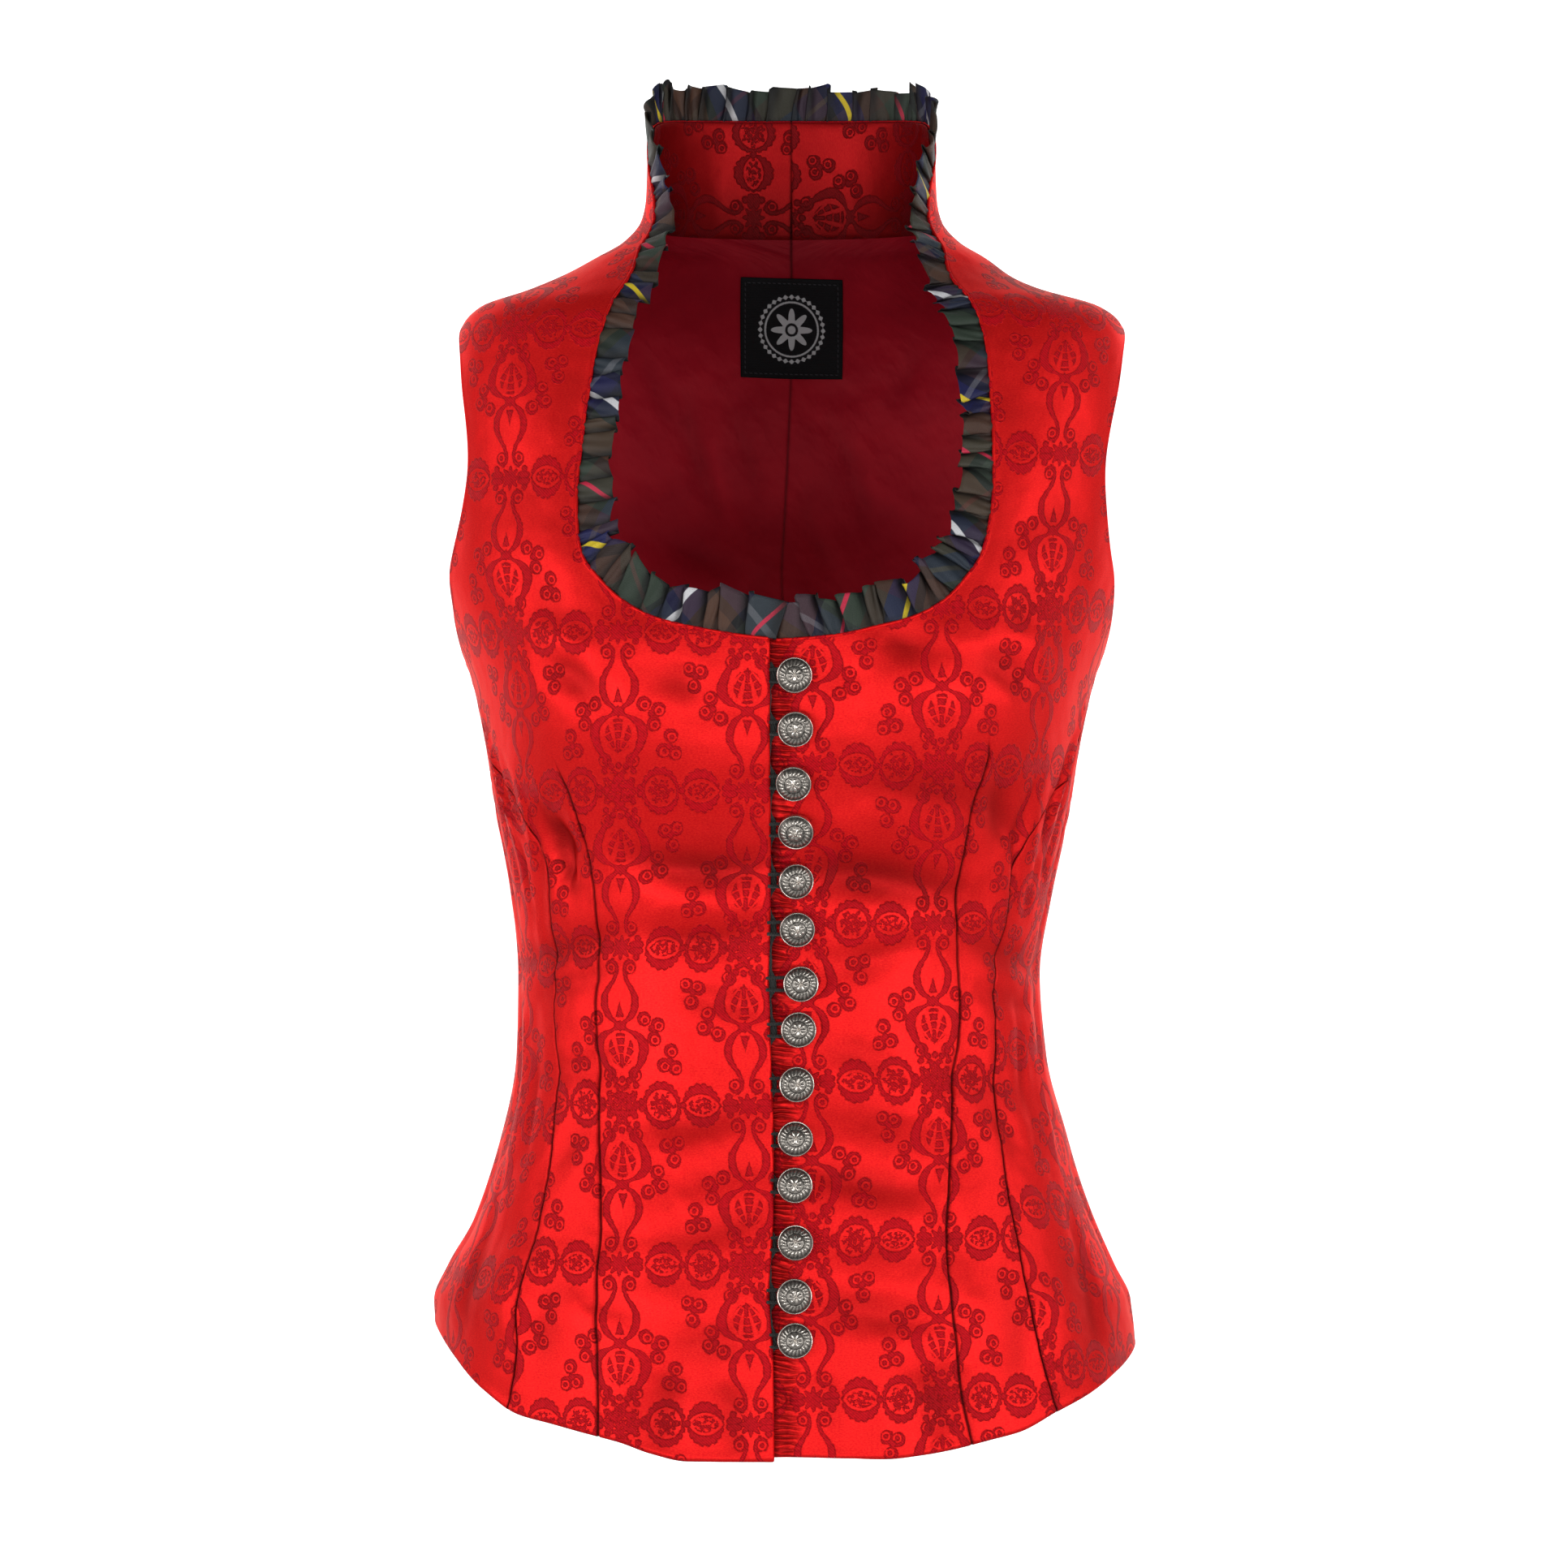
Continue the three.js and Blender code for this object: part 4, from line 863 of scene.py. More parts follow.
def add_mesh(name, points, faces, uv=None, material_of=None, tones=None):
    """A smooth mesh from points in millimetres, with its cloth coordinates and its tones."""
    mesh = bpy.data.meshes.new(name)
    mesh.from_pydata((points * MM).tolist(), [], faces)
    mesh.polygons.foreach_set("use_smooth", np.ones(len(faces), bool))
    if material_of is not None:
        mesh.polygons.foreach_set("material_index", material_of.astype(np.int32))
    corners = np.empty(len(mesh.loops), np.int32)
    mesh.loops.foreach_get("vertex_index", corners)
    if uv is not None:
        layer = mesh.uv_layers.new(name="cloth")
        layer.data.foreach_set("uv", (uv[corners] * MM).astype(np.float32).ravel())
    if tones is not None:
        colours = np.ones((len(points), 4), np.float32)
        colours[:, 0:3] = tones[:, None]
        stored = mesh.color_attributes.new("relief", "FLOAT_COLOR", "POINT")
        stored.data.foreach_set("color", colours.ravel())
    mesh.update()
    piece = bpy.data.objects.new(name, mesh)
    bpy.context.scene.collection.objects.link(piece)
    return piece


RIM_BULGE = 0.45


def shell(name, outer, inner, uv, inner_material=0, flip=False, tone=None):
    """A closed thin sheet between two grids, with a rounded rim."""
    rows, columns = outer.shape[:2]
    rim = rim_indices(rows, columns)
    i, j = rim[:, 0], rim[:, 1]
    inside_i = np.clip(i, 1, rows - 2)
    inside_j = np.clip(j, 1, columns - 2)
    middle = (outer[i, j] + inner[i, j]) / 2
    wall = np.linalg.norm(outer[i, j] - inner[i, j], axis=1, keepdims=True)
    away = unit(middle - (outer[inside_i, inside_j] + inner[inside_i, inside_j]) / 2)
    edge = middle + away * wall * RIM_BULGE
    count = rows * columns
    points = np.vstack([outer.reshape(-1, 3), inner.reshape(-1, 3), edge])
    outer_faces = grid_faces(rows, columns, 0, flip)
    inner_faces = grid_faces(rows, columns, count, not flip)
    ring = i * columns + j
    following = np.roll(ring, -1)
    k = np.arange(len(ring)) + 2 * count
    k_next = np.roll(k, -1)
    strip_outer = np.stack([ring, following, k_next, k], axis=1)
    strip_inner = np.stack([k, k_next, following + count, ring + count], axis=1)
    if flip:
        strip_outer, strip_inner = strip_outer[:, ::-1], strip_inner[:, ::-1]
    faces = np.vstack([outer_faces, inner_faces, strip_outer, strip_inner])
    slots = np.zeros(len(faces), int)
    slots[len(outer_faces):len(outer_faces) + len(inner_faces)] = inner_material
    flat = uv.reshape(-1, 2)
    tone = np.ones(count) if tone is None else tone.ravel()
    tones = np.concatenate([tone, tone, tone[ring]])
    return add_mesh(name, points, faces.tolist(), np.vstack([flat, flat, flat[ring]]), slots, tones)


def grid_area(points):
    diagonal_a = points[1:, 1:] - points[:-1, :-1]
    diagonal_b = points[1:, :-1] - points[:-1, 1:]
    return float(np.linalg.norm(np.cross(diagonal_a, diagonal_b), axis=2).sum() / 2) * MM * MM


def finish_piece(piece, node, materials):
    for material in materials:
        piece.data.materials.append(material)
    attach(piece, "root")
    if node:
        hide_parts(node)


def ring_turns(count):
    """Even turns once round, in radians."""
    return np.linspace(0, 2 * np.pi, count, endpoint=False)


def ring_steps(rows, spokes):
    """For each face between closed rings: its row's first index, its spoke and the next one."""
    pairs = [(m, (m + 1) % spokes) for m in range(spokes)]
    return [(row * spokes, m, n) for row in range(rows - 1) for m, n in pairs]


CORD_ROUND = 6


def tube(name, points, radius, sides):
    """A round cord along points, with caps."""
    ahead = np.vstack([points[1:], points[-1:]])
    behind = np.vstack([points[:1], points[:-1]])
    tangent = unit(ahead - behind)
    side = np.zeros_like(points)
    last = unit(np.cross(tangent[0], [0.0, 0.0, 1.0]) + 1e-9)
    for k, direction in enumerate(tangent):
        last = unit(last - direction * np.dot(last, direction))
        side[k] = last
    other = np.cross(tangent, side)
    turn = ring_turns(sides)
    cosine, sine = np.cos(turn)[None, :, None], np.sin(turn)[None, :, None]
    rings = points[:, None, :] + (cosine * side[:, None, :] + sine * other[:, None, :]) * radius
    count = len(points)
    faces = [(a + m, a + n, a + sides + n, a + sides + m) for a, m, n in ring_steps(count, sides)]
    first, final, base = count * sides, count * sides + 1, (count - 1) * sides
    faces += [(first, (m + 1) % sides, m) for m in range(sides)]
    faces += [(final, base + m, base + (m + 1) % sides) for m in range(sides)]
    round_cord = np.tile(turn / (2 * np.pi) * CORD_ROUND, count)
    uv = np.stack([np.repeat(run_lengths(points), sides), round_cord], axis=1)
    uv = np.vstack([uv, uv[:1], uv[-1:]])
    vertices = np.vstack([rings.reshape(-1, 3), points[:1], points[-1:]])
    return add_mesh(name, vertices, faces, uv, None, np.ones(len(vertices)))


# Node materials. A Value stands for a socket or a number, and arithmetic adds math nodes.
class Value:
    def __init__(self, shader, source):
        self.shader = shader
        self.source = source

    def apply(self, operation, *others):
        return self.shader.math(operation, self, *others)

    def __add__(self, other):
        return self.apply("ADD", other)

    __radd__ = __add__

    def __sub__(self, other):
        return self.apply("SUBTRACT", other)

    def __rsub__(self, other):
        return self.shader.math("SUBTRACT", other, self)

    def __mul__(self, other):
        return self.apply("MULTIPLY", other)

    __rmul__ = __mul__

    def __truediv__(self, other):
        return self.apply("DIVIDE", other)

    def low(self, other):
        return self.apply("MINIMUM", other)

    def high(self, other):
        return self.apply("MAXIMUM", other)

    def size(self):
        return self.apply("ABSOLUTE")

    def sine(self):
        return self.apply("SINE")

    def cosine(self):
        return self.apply("COSINE")


class Shader:
    """A node material with a Principled surface and helpers that add nodes to it."""

    def __init__(self, name):
        self.material = bpy.data.materials.new(name)
        self.material.use_nodes = True
        self.tree = self.material.node_tree
        self.surface = self.tree.nodes["Principled BSDF"]

    def node(self, kind, **settings):
        node = self.tree.nodes.new(kind)
        for key, value in settings.items():
            setattr(node, key, value)
        return node

    def join(self, source, socket):
        if isinstance(source, Value):
            self.tree.links.new(source.source, socket)
        else:
            socket.default_value = source

    def math(self, operation, *inputs):
        node = self.node("ShaderNodeMath", operation=operation)
        for value, socket in zip(inputs, node.inputs):
            self.join(value, socket)
        return Value(self, node.outputs[0])

    def cloth_uv(self):
        """The flat cloth coordinates in millimetres."""
        uv = self.node("ShaderNodeUVMap", uv_map="cloth")
        scaled = self.node("ShaderNodeVectorMath", operation="SCALE")
        self.tree.links.new(uv.outputs[0], scaled.inputs[0])
        scaled.inputs["Scale"].default_value = 1 / MM
        parts = self.node("ShaderNodeSeparateXYZ")
        self.tree.links.new(scaled.outputs[0], parts.inputs[0])
        return Value(self, parts.outputs[0]), Value(self, parts.outputs[1])

    def vector(self, x, y):
        node = self.node("ShaderNodeCombineXYZ")
        for value, socket in zip((x, y), node.inputs):
            self.join(value, socket)
        return Value(self, node.outputs[0])

    def distance(self, place, x, y):
        node = self.node("ShaderNodeVectorMath", operation="DISTANCE")
        self.join(place, node.inputs[0])
        node.inputs[1].default_value = (x, y, 0)
        return Value(self, node.outputs["Value"])

    def nearest(self, place, centres):
        """The distance to the nearest of several points."""
        found = None
        for x, y in centres:
            here = self.distance(place, x, y)
            found = here if found is None else found.low(here)
        return found

    def noise(self, place, scale, detail=2.0, roughness=0.5):
        node = self.node("ShaderNodeTexNoise")
        self.join(place, node.inputs["Vector"])
        node.inputs["Scale"].default_value = scale
        node.inputs["Detail"].default_value = detail
        node.inputs["Roughness"].default_value = roughness
        return Value(self, node.outputs[0])

    def fade(self, value, low, high, start=0.0, end=1.0):
        node = self.node("ShaderNodeMapRange", clamp=True)
        self.join(value, node.inputs["Value"])
        for key, number in zip(("From Min", "From Max", "To Min", "To Max"), (low, high, start, end)):
            self.join(number, node.inputs[key])
        return Value(self, node.outputs[0])

    def blend(self, share, first, second):
        node = self.node("ShaderNodeMix", data_type="RGBA")
        self.join(share, node.inputs[0])
        self.join(first, node.inputs[6])
        self.join(second, node.inputs[7])
        return Value(self, node.outputs[2])

    def oval(self, a, b, a_scale, b_scale):
        """The length of (a, b) once each is scaled: ellipses have a fixed value."""
        node = self.node("ShaderNodeVectorMath", operation="LENGTH")
        self.join(self.vector(a * a_scale, b * b_scale), node.inputs[0])
        return Value(self, node.outputs["Value"])

    def profile(self, value, points):
        """A smooth curve through points from 0 to 1."""
        node = self.node("ShaderNodeFloatCurve")
        curve = node.mapping.curves[0]
        curve.points[0].location = points[0]
        curve.points[1].location = points[-1]
        for place in points[1:-1]:
            curve.points.new(*place)
        node.mapping.update()
        self.join(value, node.inputs["Value"])
        return Value(self, node.outputs[0])

    def position(self):
        return Value(self, self.node("ShaderNodeNewGeometry").outputs["Position"])

    def relief(self):
        """The tone stored with a mesh: on the cloth, painted shade that is 1 on open faces and less in
        seams and recesses; on the buttons, the height that sets where the pewter is worn bright and where
        it is blackened.
        """
        stored = self.node("ShaderNodeVertexColor", layer_name="relief")
        split = self.node("ShaderNodeSeparateColor")
        self.tree.links.new(stored.outputs[0], split.inputs[0])
        return Value(self, split.outputs[0])

    def bump(self, height):
        """A bump whose height is in millimetres."""
        node = self.node("ShaderNodeBump")
        node.inputs["Strength"].default_value = 1.0
        node.inputs["Distance"].default_value = MM
        self.join(height, node.inputs["Height"])
        self.tree.links.new(node.outputs[0], self.surface.inputs["Normal"])

    def set(self, **values):
        for key, value in values.items():
            self.join(value, self.surface.inputs[key.replace("_", " ")])


def colour(red, green, blue):
    """A screen colour (0 to 255) as a linear one."""
    def linear(value):
        value = value / 255
        return value / 12.92 if value <= 0.04045 else ((value + 0.055) / 1.055) ** 2.4

    return (linear(red), linear(green), linear(blue), 1.0)


# The damask repeat: columns of motifs, each column half a repeat higher than the last.
COLUMN_PITCH = 58.0
ROW_PITCH = 141.0
REPEATS_BEFORE = 20
ARM_LIMITS = (9.0, 65.5)
ARM_WIDTH = 14.0
ARMS = table(
    "height centre half",
    (0, 8.6, 0.5), (8, 7.4, 0.7), (12, 6.0, 0.9), (16, 7.8, 1.5), (21, 10.4, 2.1), (26, 11.4, 2.4),
    (30, 9.6, 2.5), (33, 5.6, 2.4), (35.4, 1.2, 1.6), (37.6, 3.4, 1.7), (41, 6.4, 1.8), (46.5, 7.8, 1.7),
    (52, 6.0, 1.4), (57, 3.0, 1.0), (61.5, 2.0, 0.7), (64, 3.6, 0.7), (70.5, 6.0, 0.6),
)
KNOT_HEIGHT = 35.4
FAN_FOOT = 15.5
ROUNDEL_AT = 19.2
CRESCENT_AT = 20.6
CROWN = [(0, 11.3), (3.5, 10.8), (7.0, 8.8)]
SPIRALS = [
    (18.4, 36.0), (11.9, 38.6), (16.4, 29.7),
    (24.1, 24.4), (20.7, 17.9), (26.0, 16.8),
    (4.7, 61.8), (6.6, 13.6),
]
DOTS = [(15.4, 34.4), (23.4, 19.8), (8.2, 66.4), (29.0, 0), (29.0, 70.5), (9.9, 1.4), (9.6, 69.2)]


def damask_field(shader, u, v, speckle):
    """How deep inside the woven ornament a point lies, in millimetres, below zero inside."""
    half_row = ROW_PITCH / 2
    column = shader.math("FLOOR", u / COLUMN_PITCH + 0.5)
    odd = shader.math("FLOORED_MODULO", column, 2.0)
    a = (u - column * COLUMN_PITCH).size()
    b = shader.math("PINGPONG", v + odd * half_row + ROW_PITCH * REPEATS_BEFORE, half_row)
    place = shader.vector(a, b)

    # Large filled rosette with two eyes, a lobed rim and a small crown.
    turn = shader.math("ARCTAN2", b, a)
    rosette = shader.oval(a, b, 1.0, 0.9) - 8.3 - (turn * 10.0).cosine() * 0.8
    rosette = rosette.high(1.4 - shader.distance(place, 3.9, 6.3)).high((0.41 - speckle) * 9.0)
    crown = shader.nearest(place, CROWN) - 1.5

    # Two arms that open and close like a lyre, a knot, and open and close again.
    share = b / half_row
    centre = shader.profile(share, [(row["height"] / half_row, row["centre"] / ARM_WIDTH) for row in ARMS])
    half = shader.profile(share, [(row["height"] / half_row, row["half"] / ARM_WIDTH) for row in ARMS])
    arms = (a - centre * ARM_WIDTH).size() - half * ARM_WIDTH
    arms = arms.high(ARM_LIMITS[0] - b).high(b - ARM_LIMITS[1])
    knot = a + (b - KNOT_HEIGHT).size() - 2.6

    # A fan of petals between the lower arms and a pointed bud between the upper ones.
    from_foot = shader.distance(place, 0, FAN_FOOT)
    gaps = (from_foot * 1.7).cosine() * 1.2 - 0.8
    strokes = ((shader.math("ARCTAN2", a, b - FAN_FOOT) * 13.0).cosine() * -0.9 - 0.2).high(gaps)
    petal_area = (shader.oval(a, b - 24.6, 1.0, 0.84) - 6.2).high(strokes)
    fan = petal_area.low(shader.oval(a, b - 19.6, 1.6, 0.5) - 1.5)
    bud = (a * 1.1 + (b - 45.8) * 0.34).high(39.4 - b)

    # Roundels with thick crescents and a flower, and crescents round a pointed eye.
    near = shader.distance(place, ROUNDEL_AT, 0)
    flower_turn = shader.math("ARCTAN2", b, a - ROUNDEL_AT)
    leafy = (flower_turn * 9.0).cosine().size() * 0.7
    roundel = (shader.oval(a - ROUNDEL_AT, b, 1.0, 0.82) - 8.3 - leafy).high(7.1 - near)
    petals = (flower_turn * 6.0).cosine() * 1.0 + (flower_turn * 14.0).sine() * 0.6
    flower = (near - 5.1 - petals).high((speckle - 0.53) * 9.0).low((near - 2.6).size() - 0.45)
    rise = (b - half_row).size()
    point_turn = shader.math("ARCTAN2", rise, a - CRESCENT_AT)
    lobes = (point_turn * 9.0).cosine().size() * 0.7
    outside = shader.oval(a - CRESCENT_AT, rise, 1.0, 0.86) - 8.0 - lobes
    eye = 8.9 - shader.oval(a - CRESCENT_AT, rise + 3.7, 1.0, 1.0)
    crescents = outside.high(eye)
    leaf = (1.6 - eye).high((speckle - 0.5) * 9.0)

    # A small filled crossing with leaves, then spirals in threes, their stems and joints.
    cross_turn = shader.math("ARCTAN2", rise, a)
    crossing = shader.distance(place, 0, half_row) - 4.4 - (cross_turn * 8.0).cosine() * 1.2
    leaves = shader.oval(a - 7.6, rise - 1.5, 1.0, 2.2) - 3.6
    curl = shader.nearest(place, SPIRALS)
    swirl = shader.nearest(place, [(x + 0.5, y - 0.55) for x, y in SPIRALS])
    curls = (curl - 3.25).high(2.15 - swirl).low(swirl - 1.05)
    dots = shader.nearest(place, DOTS) - 1.6

    field = rosette.low(crown).low(arms).low(knot).low(fan).low(bud).low(roundel).low(flower)
    return field.low(crescents).low(leaf).low(crossing).low(leaves).low(curls).low(dots)


DAMASK = {
    "ground": colour(253, 46, 38),
    "ground_deep": colour(224, 4, 26),
    "motif": colour(148, 0, 18),
    "motif_light": colour(214, 10, 30),
    "edge": (1.0, 0.34, 0.24, 1.0),
}


# Fine level gathers of the button stand, across the cloth from the fold to just past the buttons. dark is
# how strongly painted shade darkens their troughs.
GATHERS = {
    "pitch": 2.5, "from": -9.0, "full_from": -6.0, "full_to": 0.5, "to": 8.0, "depth": 0.75, "dark": 0.62,
}


def gathers(shader, u, v):
    """The height of the gathers from 0 to 1 and how strongly they show at a place."""
    wander = shader.noise(shader.vector(u * 0.5, v), 0.13, 2.0)
    wave = ((v + u * 0.12) * (2 * math.pi / GATHERS["pitch"]) + wander * 16.0).sine() * 0.5 + 0.5
    before_end = shader.fade(u, GATHERS["to"], GATHERS["full_to"])
    inside = before_end * shader.fade(u, GATHERS["from"], GATHERS["full_from"])
    return wave, inside * shader.fade(shader.noise(shader.vector(u, v), 0.09, 2.0), 0.3, 0.5, 0.35, 1.0)


def damask_material(name, origin, deep=0.0, gathered=False):
    """Silky ground with a duller woven ornament; origin is a rosette's place on the cloth."""
    shader = Shader(name)
    u, v = shader.cloth_uv()
    place = shader.vector(u, v)
    drift = shader.noise(place, 0.045, 2.0)
    speckle = shader.noise(place, 0.62, 2.0, 0.55)
    across_repeats = u - origin[0] + COLUMN_PITCH * REPEATS_BEFORE
    field = damask_field(shader, across_repeats, v - origin[1], speckle)
    grain = shader.noise(place, 2.1, 3.0, 0.65)
    ragged = field + (grain - 0.5) * 1.5 + (speckle - 0.5) * 1.2
    outline = shader.fade((field + 0.2).size(), 0.55, 0.1)
    motif = shader.fade(ragged, 0.25, -0.25) * shader.fade(grain, 0.22, 0.4, 0.6, 1.0)
    twill = ((u * 0.85 + v) * 4.9 + grain * 4.0).sine() * 0.5 + 0.5
    relief = shader.relief()
    swell = shader.noise(place, 0.034, 2.0, 0.45)
    ripple = shader.noise(shader.vector(u, v * 0.7), 0.1, 2.0, 0.5)
    weave = shader.noise(shader.vector(u * 0.5, v), 1.7, 3.0, 0.75)
    ground = shader.blend(shader.fade(weave, 0.3, 0.72), DAMASK["ground_deep"], DAMASK["ground"])
    thread = shader.fade(twill * 0.5 + grain * 0.6 + speckle * 1.3 - outline * 0.4, 0.55, 1.45)
    ornament = shader.blend(thread, DAMASK["motif"], DAMASK["motif_light"])
    mixed = shader.blend(motif, ground, ornament)
    # Painted shade: the facings lie inside the collar, so deep darkens their whole colour towards dark red.
    if deep > 0:
        mixed = shader.blend(deep, mixed, colour(52, 0, 14))
    folds = 0.0
    if gathered:
        wave, strength = gathers(shader, u, v)
        # Painted shade in the troughs between the gathers.
        dark = shader.fade(wave, 0.55, 0.1, 0.0, GATHERS["dark"]) * strength
        mixed = shader.blend(dark, mixed, colour(60, 0, 8))
        folds = wave * strength * GATHERS["depth"]
    # Painted shade: the stored tone takes the colour towards dark red in seams, hollows and other shaded
    # places.
    shader.set(
        Base_Color=shader.blend(relief, colour(40, 0, 6), mixed),
        Roughness=shader.fade(motif + (drift - 0.5) * 0.25, 0.0, 1.0, 0.44, 0.56),
        Metallic=shader.fade(motif, 0.0, 1.0, 0.66, 0.25),
        IOR=1.42,
        Specular_Tint=DAMASK["edge"],
    )
    woven = motif * 0.12 + twill * motif * 0.06 + weave * 0.06 + grain * motif * 0.1
    shader.bump(woven + swell * 1.7 + ripple * 0.32 + folds)
    return shader.material


def satin_material(name, base, light, roughness=0.36, metallic=0.3):
    """Plain lining satin with soft clouds and a fine thread."""
    shader = Shader(name)
    u, v = shader.cloth_uv()
    place = shader.vector(u, v)
    cloud = shader.noise(place, 0.03, 3.0)
    weave = shader.noise(shader.vector(u, v * 0.3), 2.6, 2.0, 0.7)
    crumple = shader.noise(shader.vector(u * 0.6 + v * 0.2, v * 0.5), 0.08, 3.0, 0.42)
    tone = shader.fade(cloud * 0.7 + weave * 0.3, 0.3, 0.72)
    # Painted light and shade: the stored tone takes the colour towards dark red.
    shader.set(
        Base_Color=shader.blend(shader.relief(), colour(24, 0, 5), shader.blend(tone, base, light)),
        Roughness=shader.fade(weave, 0.3, 0.7, roughness, roughness + 0.12),
        Metallic=metallic,
        IOR=1.4,
        Specular_Tint=(1.0, 0.3, 0.3, 1.0),
    )
    fine_crumple = shader.noise(shader.vector(u * 0.9 + v * 0.5, v * 0.35), 0.2, 3.0, 0.5)
    shader.bump(crumple * 2.6 + fine_crumple * 0.35 + weave * 0.04)
    return shader.material


# The plaid of the ruffle: bands of an own layout, cut on the slant.
PLAID_PITCH = 150.0
PLAID_SLANT = math.radians(38)
PLAID_BANDS = [
    (0.0, colour(54, 66, 55)),
    (0.15, colour(20, 20, 22)),
    (0.18, colour(88, 60, 46)),
    (0.31, colour(20, 19, 24)),
    (0.34, colour(28, 28, 74)),
    (0.47, colour(14, 15, 26)),
    (0.49, colour(50, 62, 51)),
    (0.65, colour(76, 52, 42)),
    (0.76, colour(17, 16, 20)),
    (0.79, colour(29, 31, 82)),
    (0.90, colour(72, 50, 40)),
]
PLAID_LINES = [
    (0.400, 0.019, colour(228, 228, 232)),
    (0.070, 0.013, colour(222, 40, 78)),
    (0.835, 0.015, colour(240, 212, 40)),
]


def plaid_threads(shader, along, weights):
    """The colour of one set of threads, from broad bands and a few bright lines."""
    share = shader.math("FLOORED_MODULO", along / PLAID_PITCH + 40.0, 1.0)
    ramp = shader.node("ShaderNodeValToRGB")
    ramp.color_ramp.interpolation = "CONSTANT"
    stops = ramp.color_ramp.elements
    stops[0].position, stops[0].color = PLAID_BANDS[0]
    stops[1].position, stops[1].color = PLAID_BANDS[1]
    for position, tone in PLAID_BANDS[2:]:
        stop = stops.new(position)
        stop.color = tone
    shader.join(share, ramp.inputs[0])
    found = Value(shader, ramp.outputs[0])
    bright = None
    for (centre, width, tone), weight in zip(PLAID_LINES, weights):
        line = shader.fade((share - centre).size(), width / 2 + 0.0015, width / 2 - 0.001, 0.0, weight)
        found = shader.blend(line, found, tone)
        bright = line if bright is None else bright.high(line)
    return found, bright


def plaid_material():
    shader = Shader("ruffle_plaid")
    u, v = shader.cloth_uv()
    cosine, sine = math.cos(PLAID_SLANT), math.sin(PLAID_SLANT)
    p = u * cosine + v * sine
    q = v * cosine - u * sine
    warp, warp_line = plaid_threads(shader, p, (1.0, 0.9, 0.95))
    weft, weft_line = plaid_threads(shader, q * 0.9 + 61.0, (0.2, 0.14, 0.1))
    share = shader.fade(weft_line - warp_line, -0.6, 0.6, 0.05, 0.72)
    twill = ((u + v) * 7.0).sine() * 0.5 + 0.5
    mixed = shader.blend(share, warp, weft)
    place = shader.vector(u, v)
    grain = shader.noise(place, 1.7, 2.0)
    shade = shader.fade(grain + twill * 0.25, 0.3, 0.95, 0.0, 0.28)
    shaded = shader.blend(shade, mixed, colour(8, 10, 14))
    # Painted shade: the stored tone takes the colour towards near black in the pleats' turned-under parts
    # and next to the root.
    shader.set(
        Base_Color=shader.blend(shader.relief(), colour(3, 3, 4), shaded),
        Roughness=shader.fade(grain, 0.3, 0.7, 0.5, 0.62),
        Specular_IOR_Level=0.3,
    )
    shader.bump(twill * 0.03 + grain * 0.06)
    return shader.material


def pewter_material():
    """Antique pewter: bright where raised, blackened in the recesses."""
    shader = Shader("antique_pewter")
    height = shader.relief()
    u, v = shader.cloth_uv()
    place = shader.vector(u, v)
    wear = shader.noise(place, 0.9, 4.0, 0.6)
    scratch = shader.noise(shader.vector(u * 0.3, v), 3.5, 2.0, 0.6)
    worn = shader.fade(height + (wear - 0.5) * 0.5, 0.16, 0.88)
    shader.set(
        Base_Color=shader.blend(worn, colour(20, 17, 15), colour(196, 189, 180)),
        Metallic=0.95,
        Roughness=shader.fade(worn + (scratch - 0.5) * 0.3, 0.0, 1.0, 0.44, 0.13),
    )
    shader.bump(wear * 0.05 + scratch * 0.02)
    return shader.material


CORD_TWIST = 5.2


def cord_material(name, dark, light):
    """A twisted cord: slanting strands along its length."""
    shader = Shader(name)
    u, v = shader.cloth_uv()
    strand = (u * CORD_TWIST + v * 2 * math.pi / 3).sine() * 0.5 + 0.5
    fuzz = shader.noise(shader.vector(u, v), 1.5, 2.0)
    shader.set(
        Base_Color=shader.blend(shader.fade(strand * 0.7 + fuzz * 0.4, 0.2, 0.9), dark, light),
        Roughness=0.62,
        Sheen_Weight=0.2,
    )
    shader.bump(strand * 0.12 + fuzz * 0.05)
    return shader.material


# A plain woven label with a stitched border and a small eight-petalled rosette of its own.
LABEL = {"from_x": -20.2, "to_x": 28.2, "top": -9.4, "bottom": -55.4, "tilt": 1.3}
LABEL_SIZE = (48, 46)
LABEL_GAP = 0.25


def label_material():
    shader = Shader("label_weave")
    u, v = shader.cloth_uv()
    half_width = (LABEL["to_x"] - LABEL["from_x"]) / 2
    half_height = (LABEL["top"] - LABEL["bottom"]) / 2
    place = shader.vector(u, v)
    edge = (half_width - u.size()).low(half_height - v.size())
    along = shader.math("SINE", (u + v) * 2.6)
    stitch = shader.fade((edge - 2.0).size(), 0.32, 0.18) * shader.fade(along, -0.35, -0.1)
    ribs = (v * 9.0).sine() * 0.5 + 0.5
    grain = shader.noise(place, 2.2, 2.0)
    radius = shader.distance(place, 0, 0)
    turn = shader.math("ARCTAN2", v, u)
    petals = radius - 7.2 - (turn * 8.0).cosine() * 2.6
    inner = 3.1 - radius
    bud = radius - 1.9
    outline = (radius - 12.6).size() - 0.42
    beads = (radius - 15.0).size() - 0.55 - (turn * 32.0).cosine() * 0.5
    figure = petals.high(inner).low(bud).low(outline).low(beads)
    woven = shader.fade(figure + (grain - 0.5) * 0.5, 0.2, -0.2)
    rib_tone = shader.fade(ribs * 0.5 + grain * 0.6, 0.3, 0.9)
    ground = shader.blend(rib_tone, colour(2, 2, 4), colour(13, 13, 16))
    with_figure = shader.blend(woven * 0.9, ground, colour(168, 170, 172))
    shader.set(
        Base_Color=shader.blend(stitch, with_figure, colour(46, 46, 50)),
        Roughness=0.8,
        Specular_IOR_Level=0.2,
    )
    shader.bump(ribs * 0.04 + grain * 0.07 + woven * 0.14 - stitch * 0.2)
    return shader.material


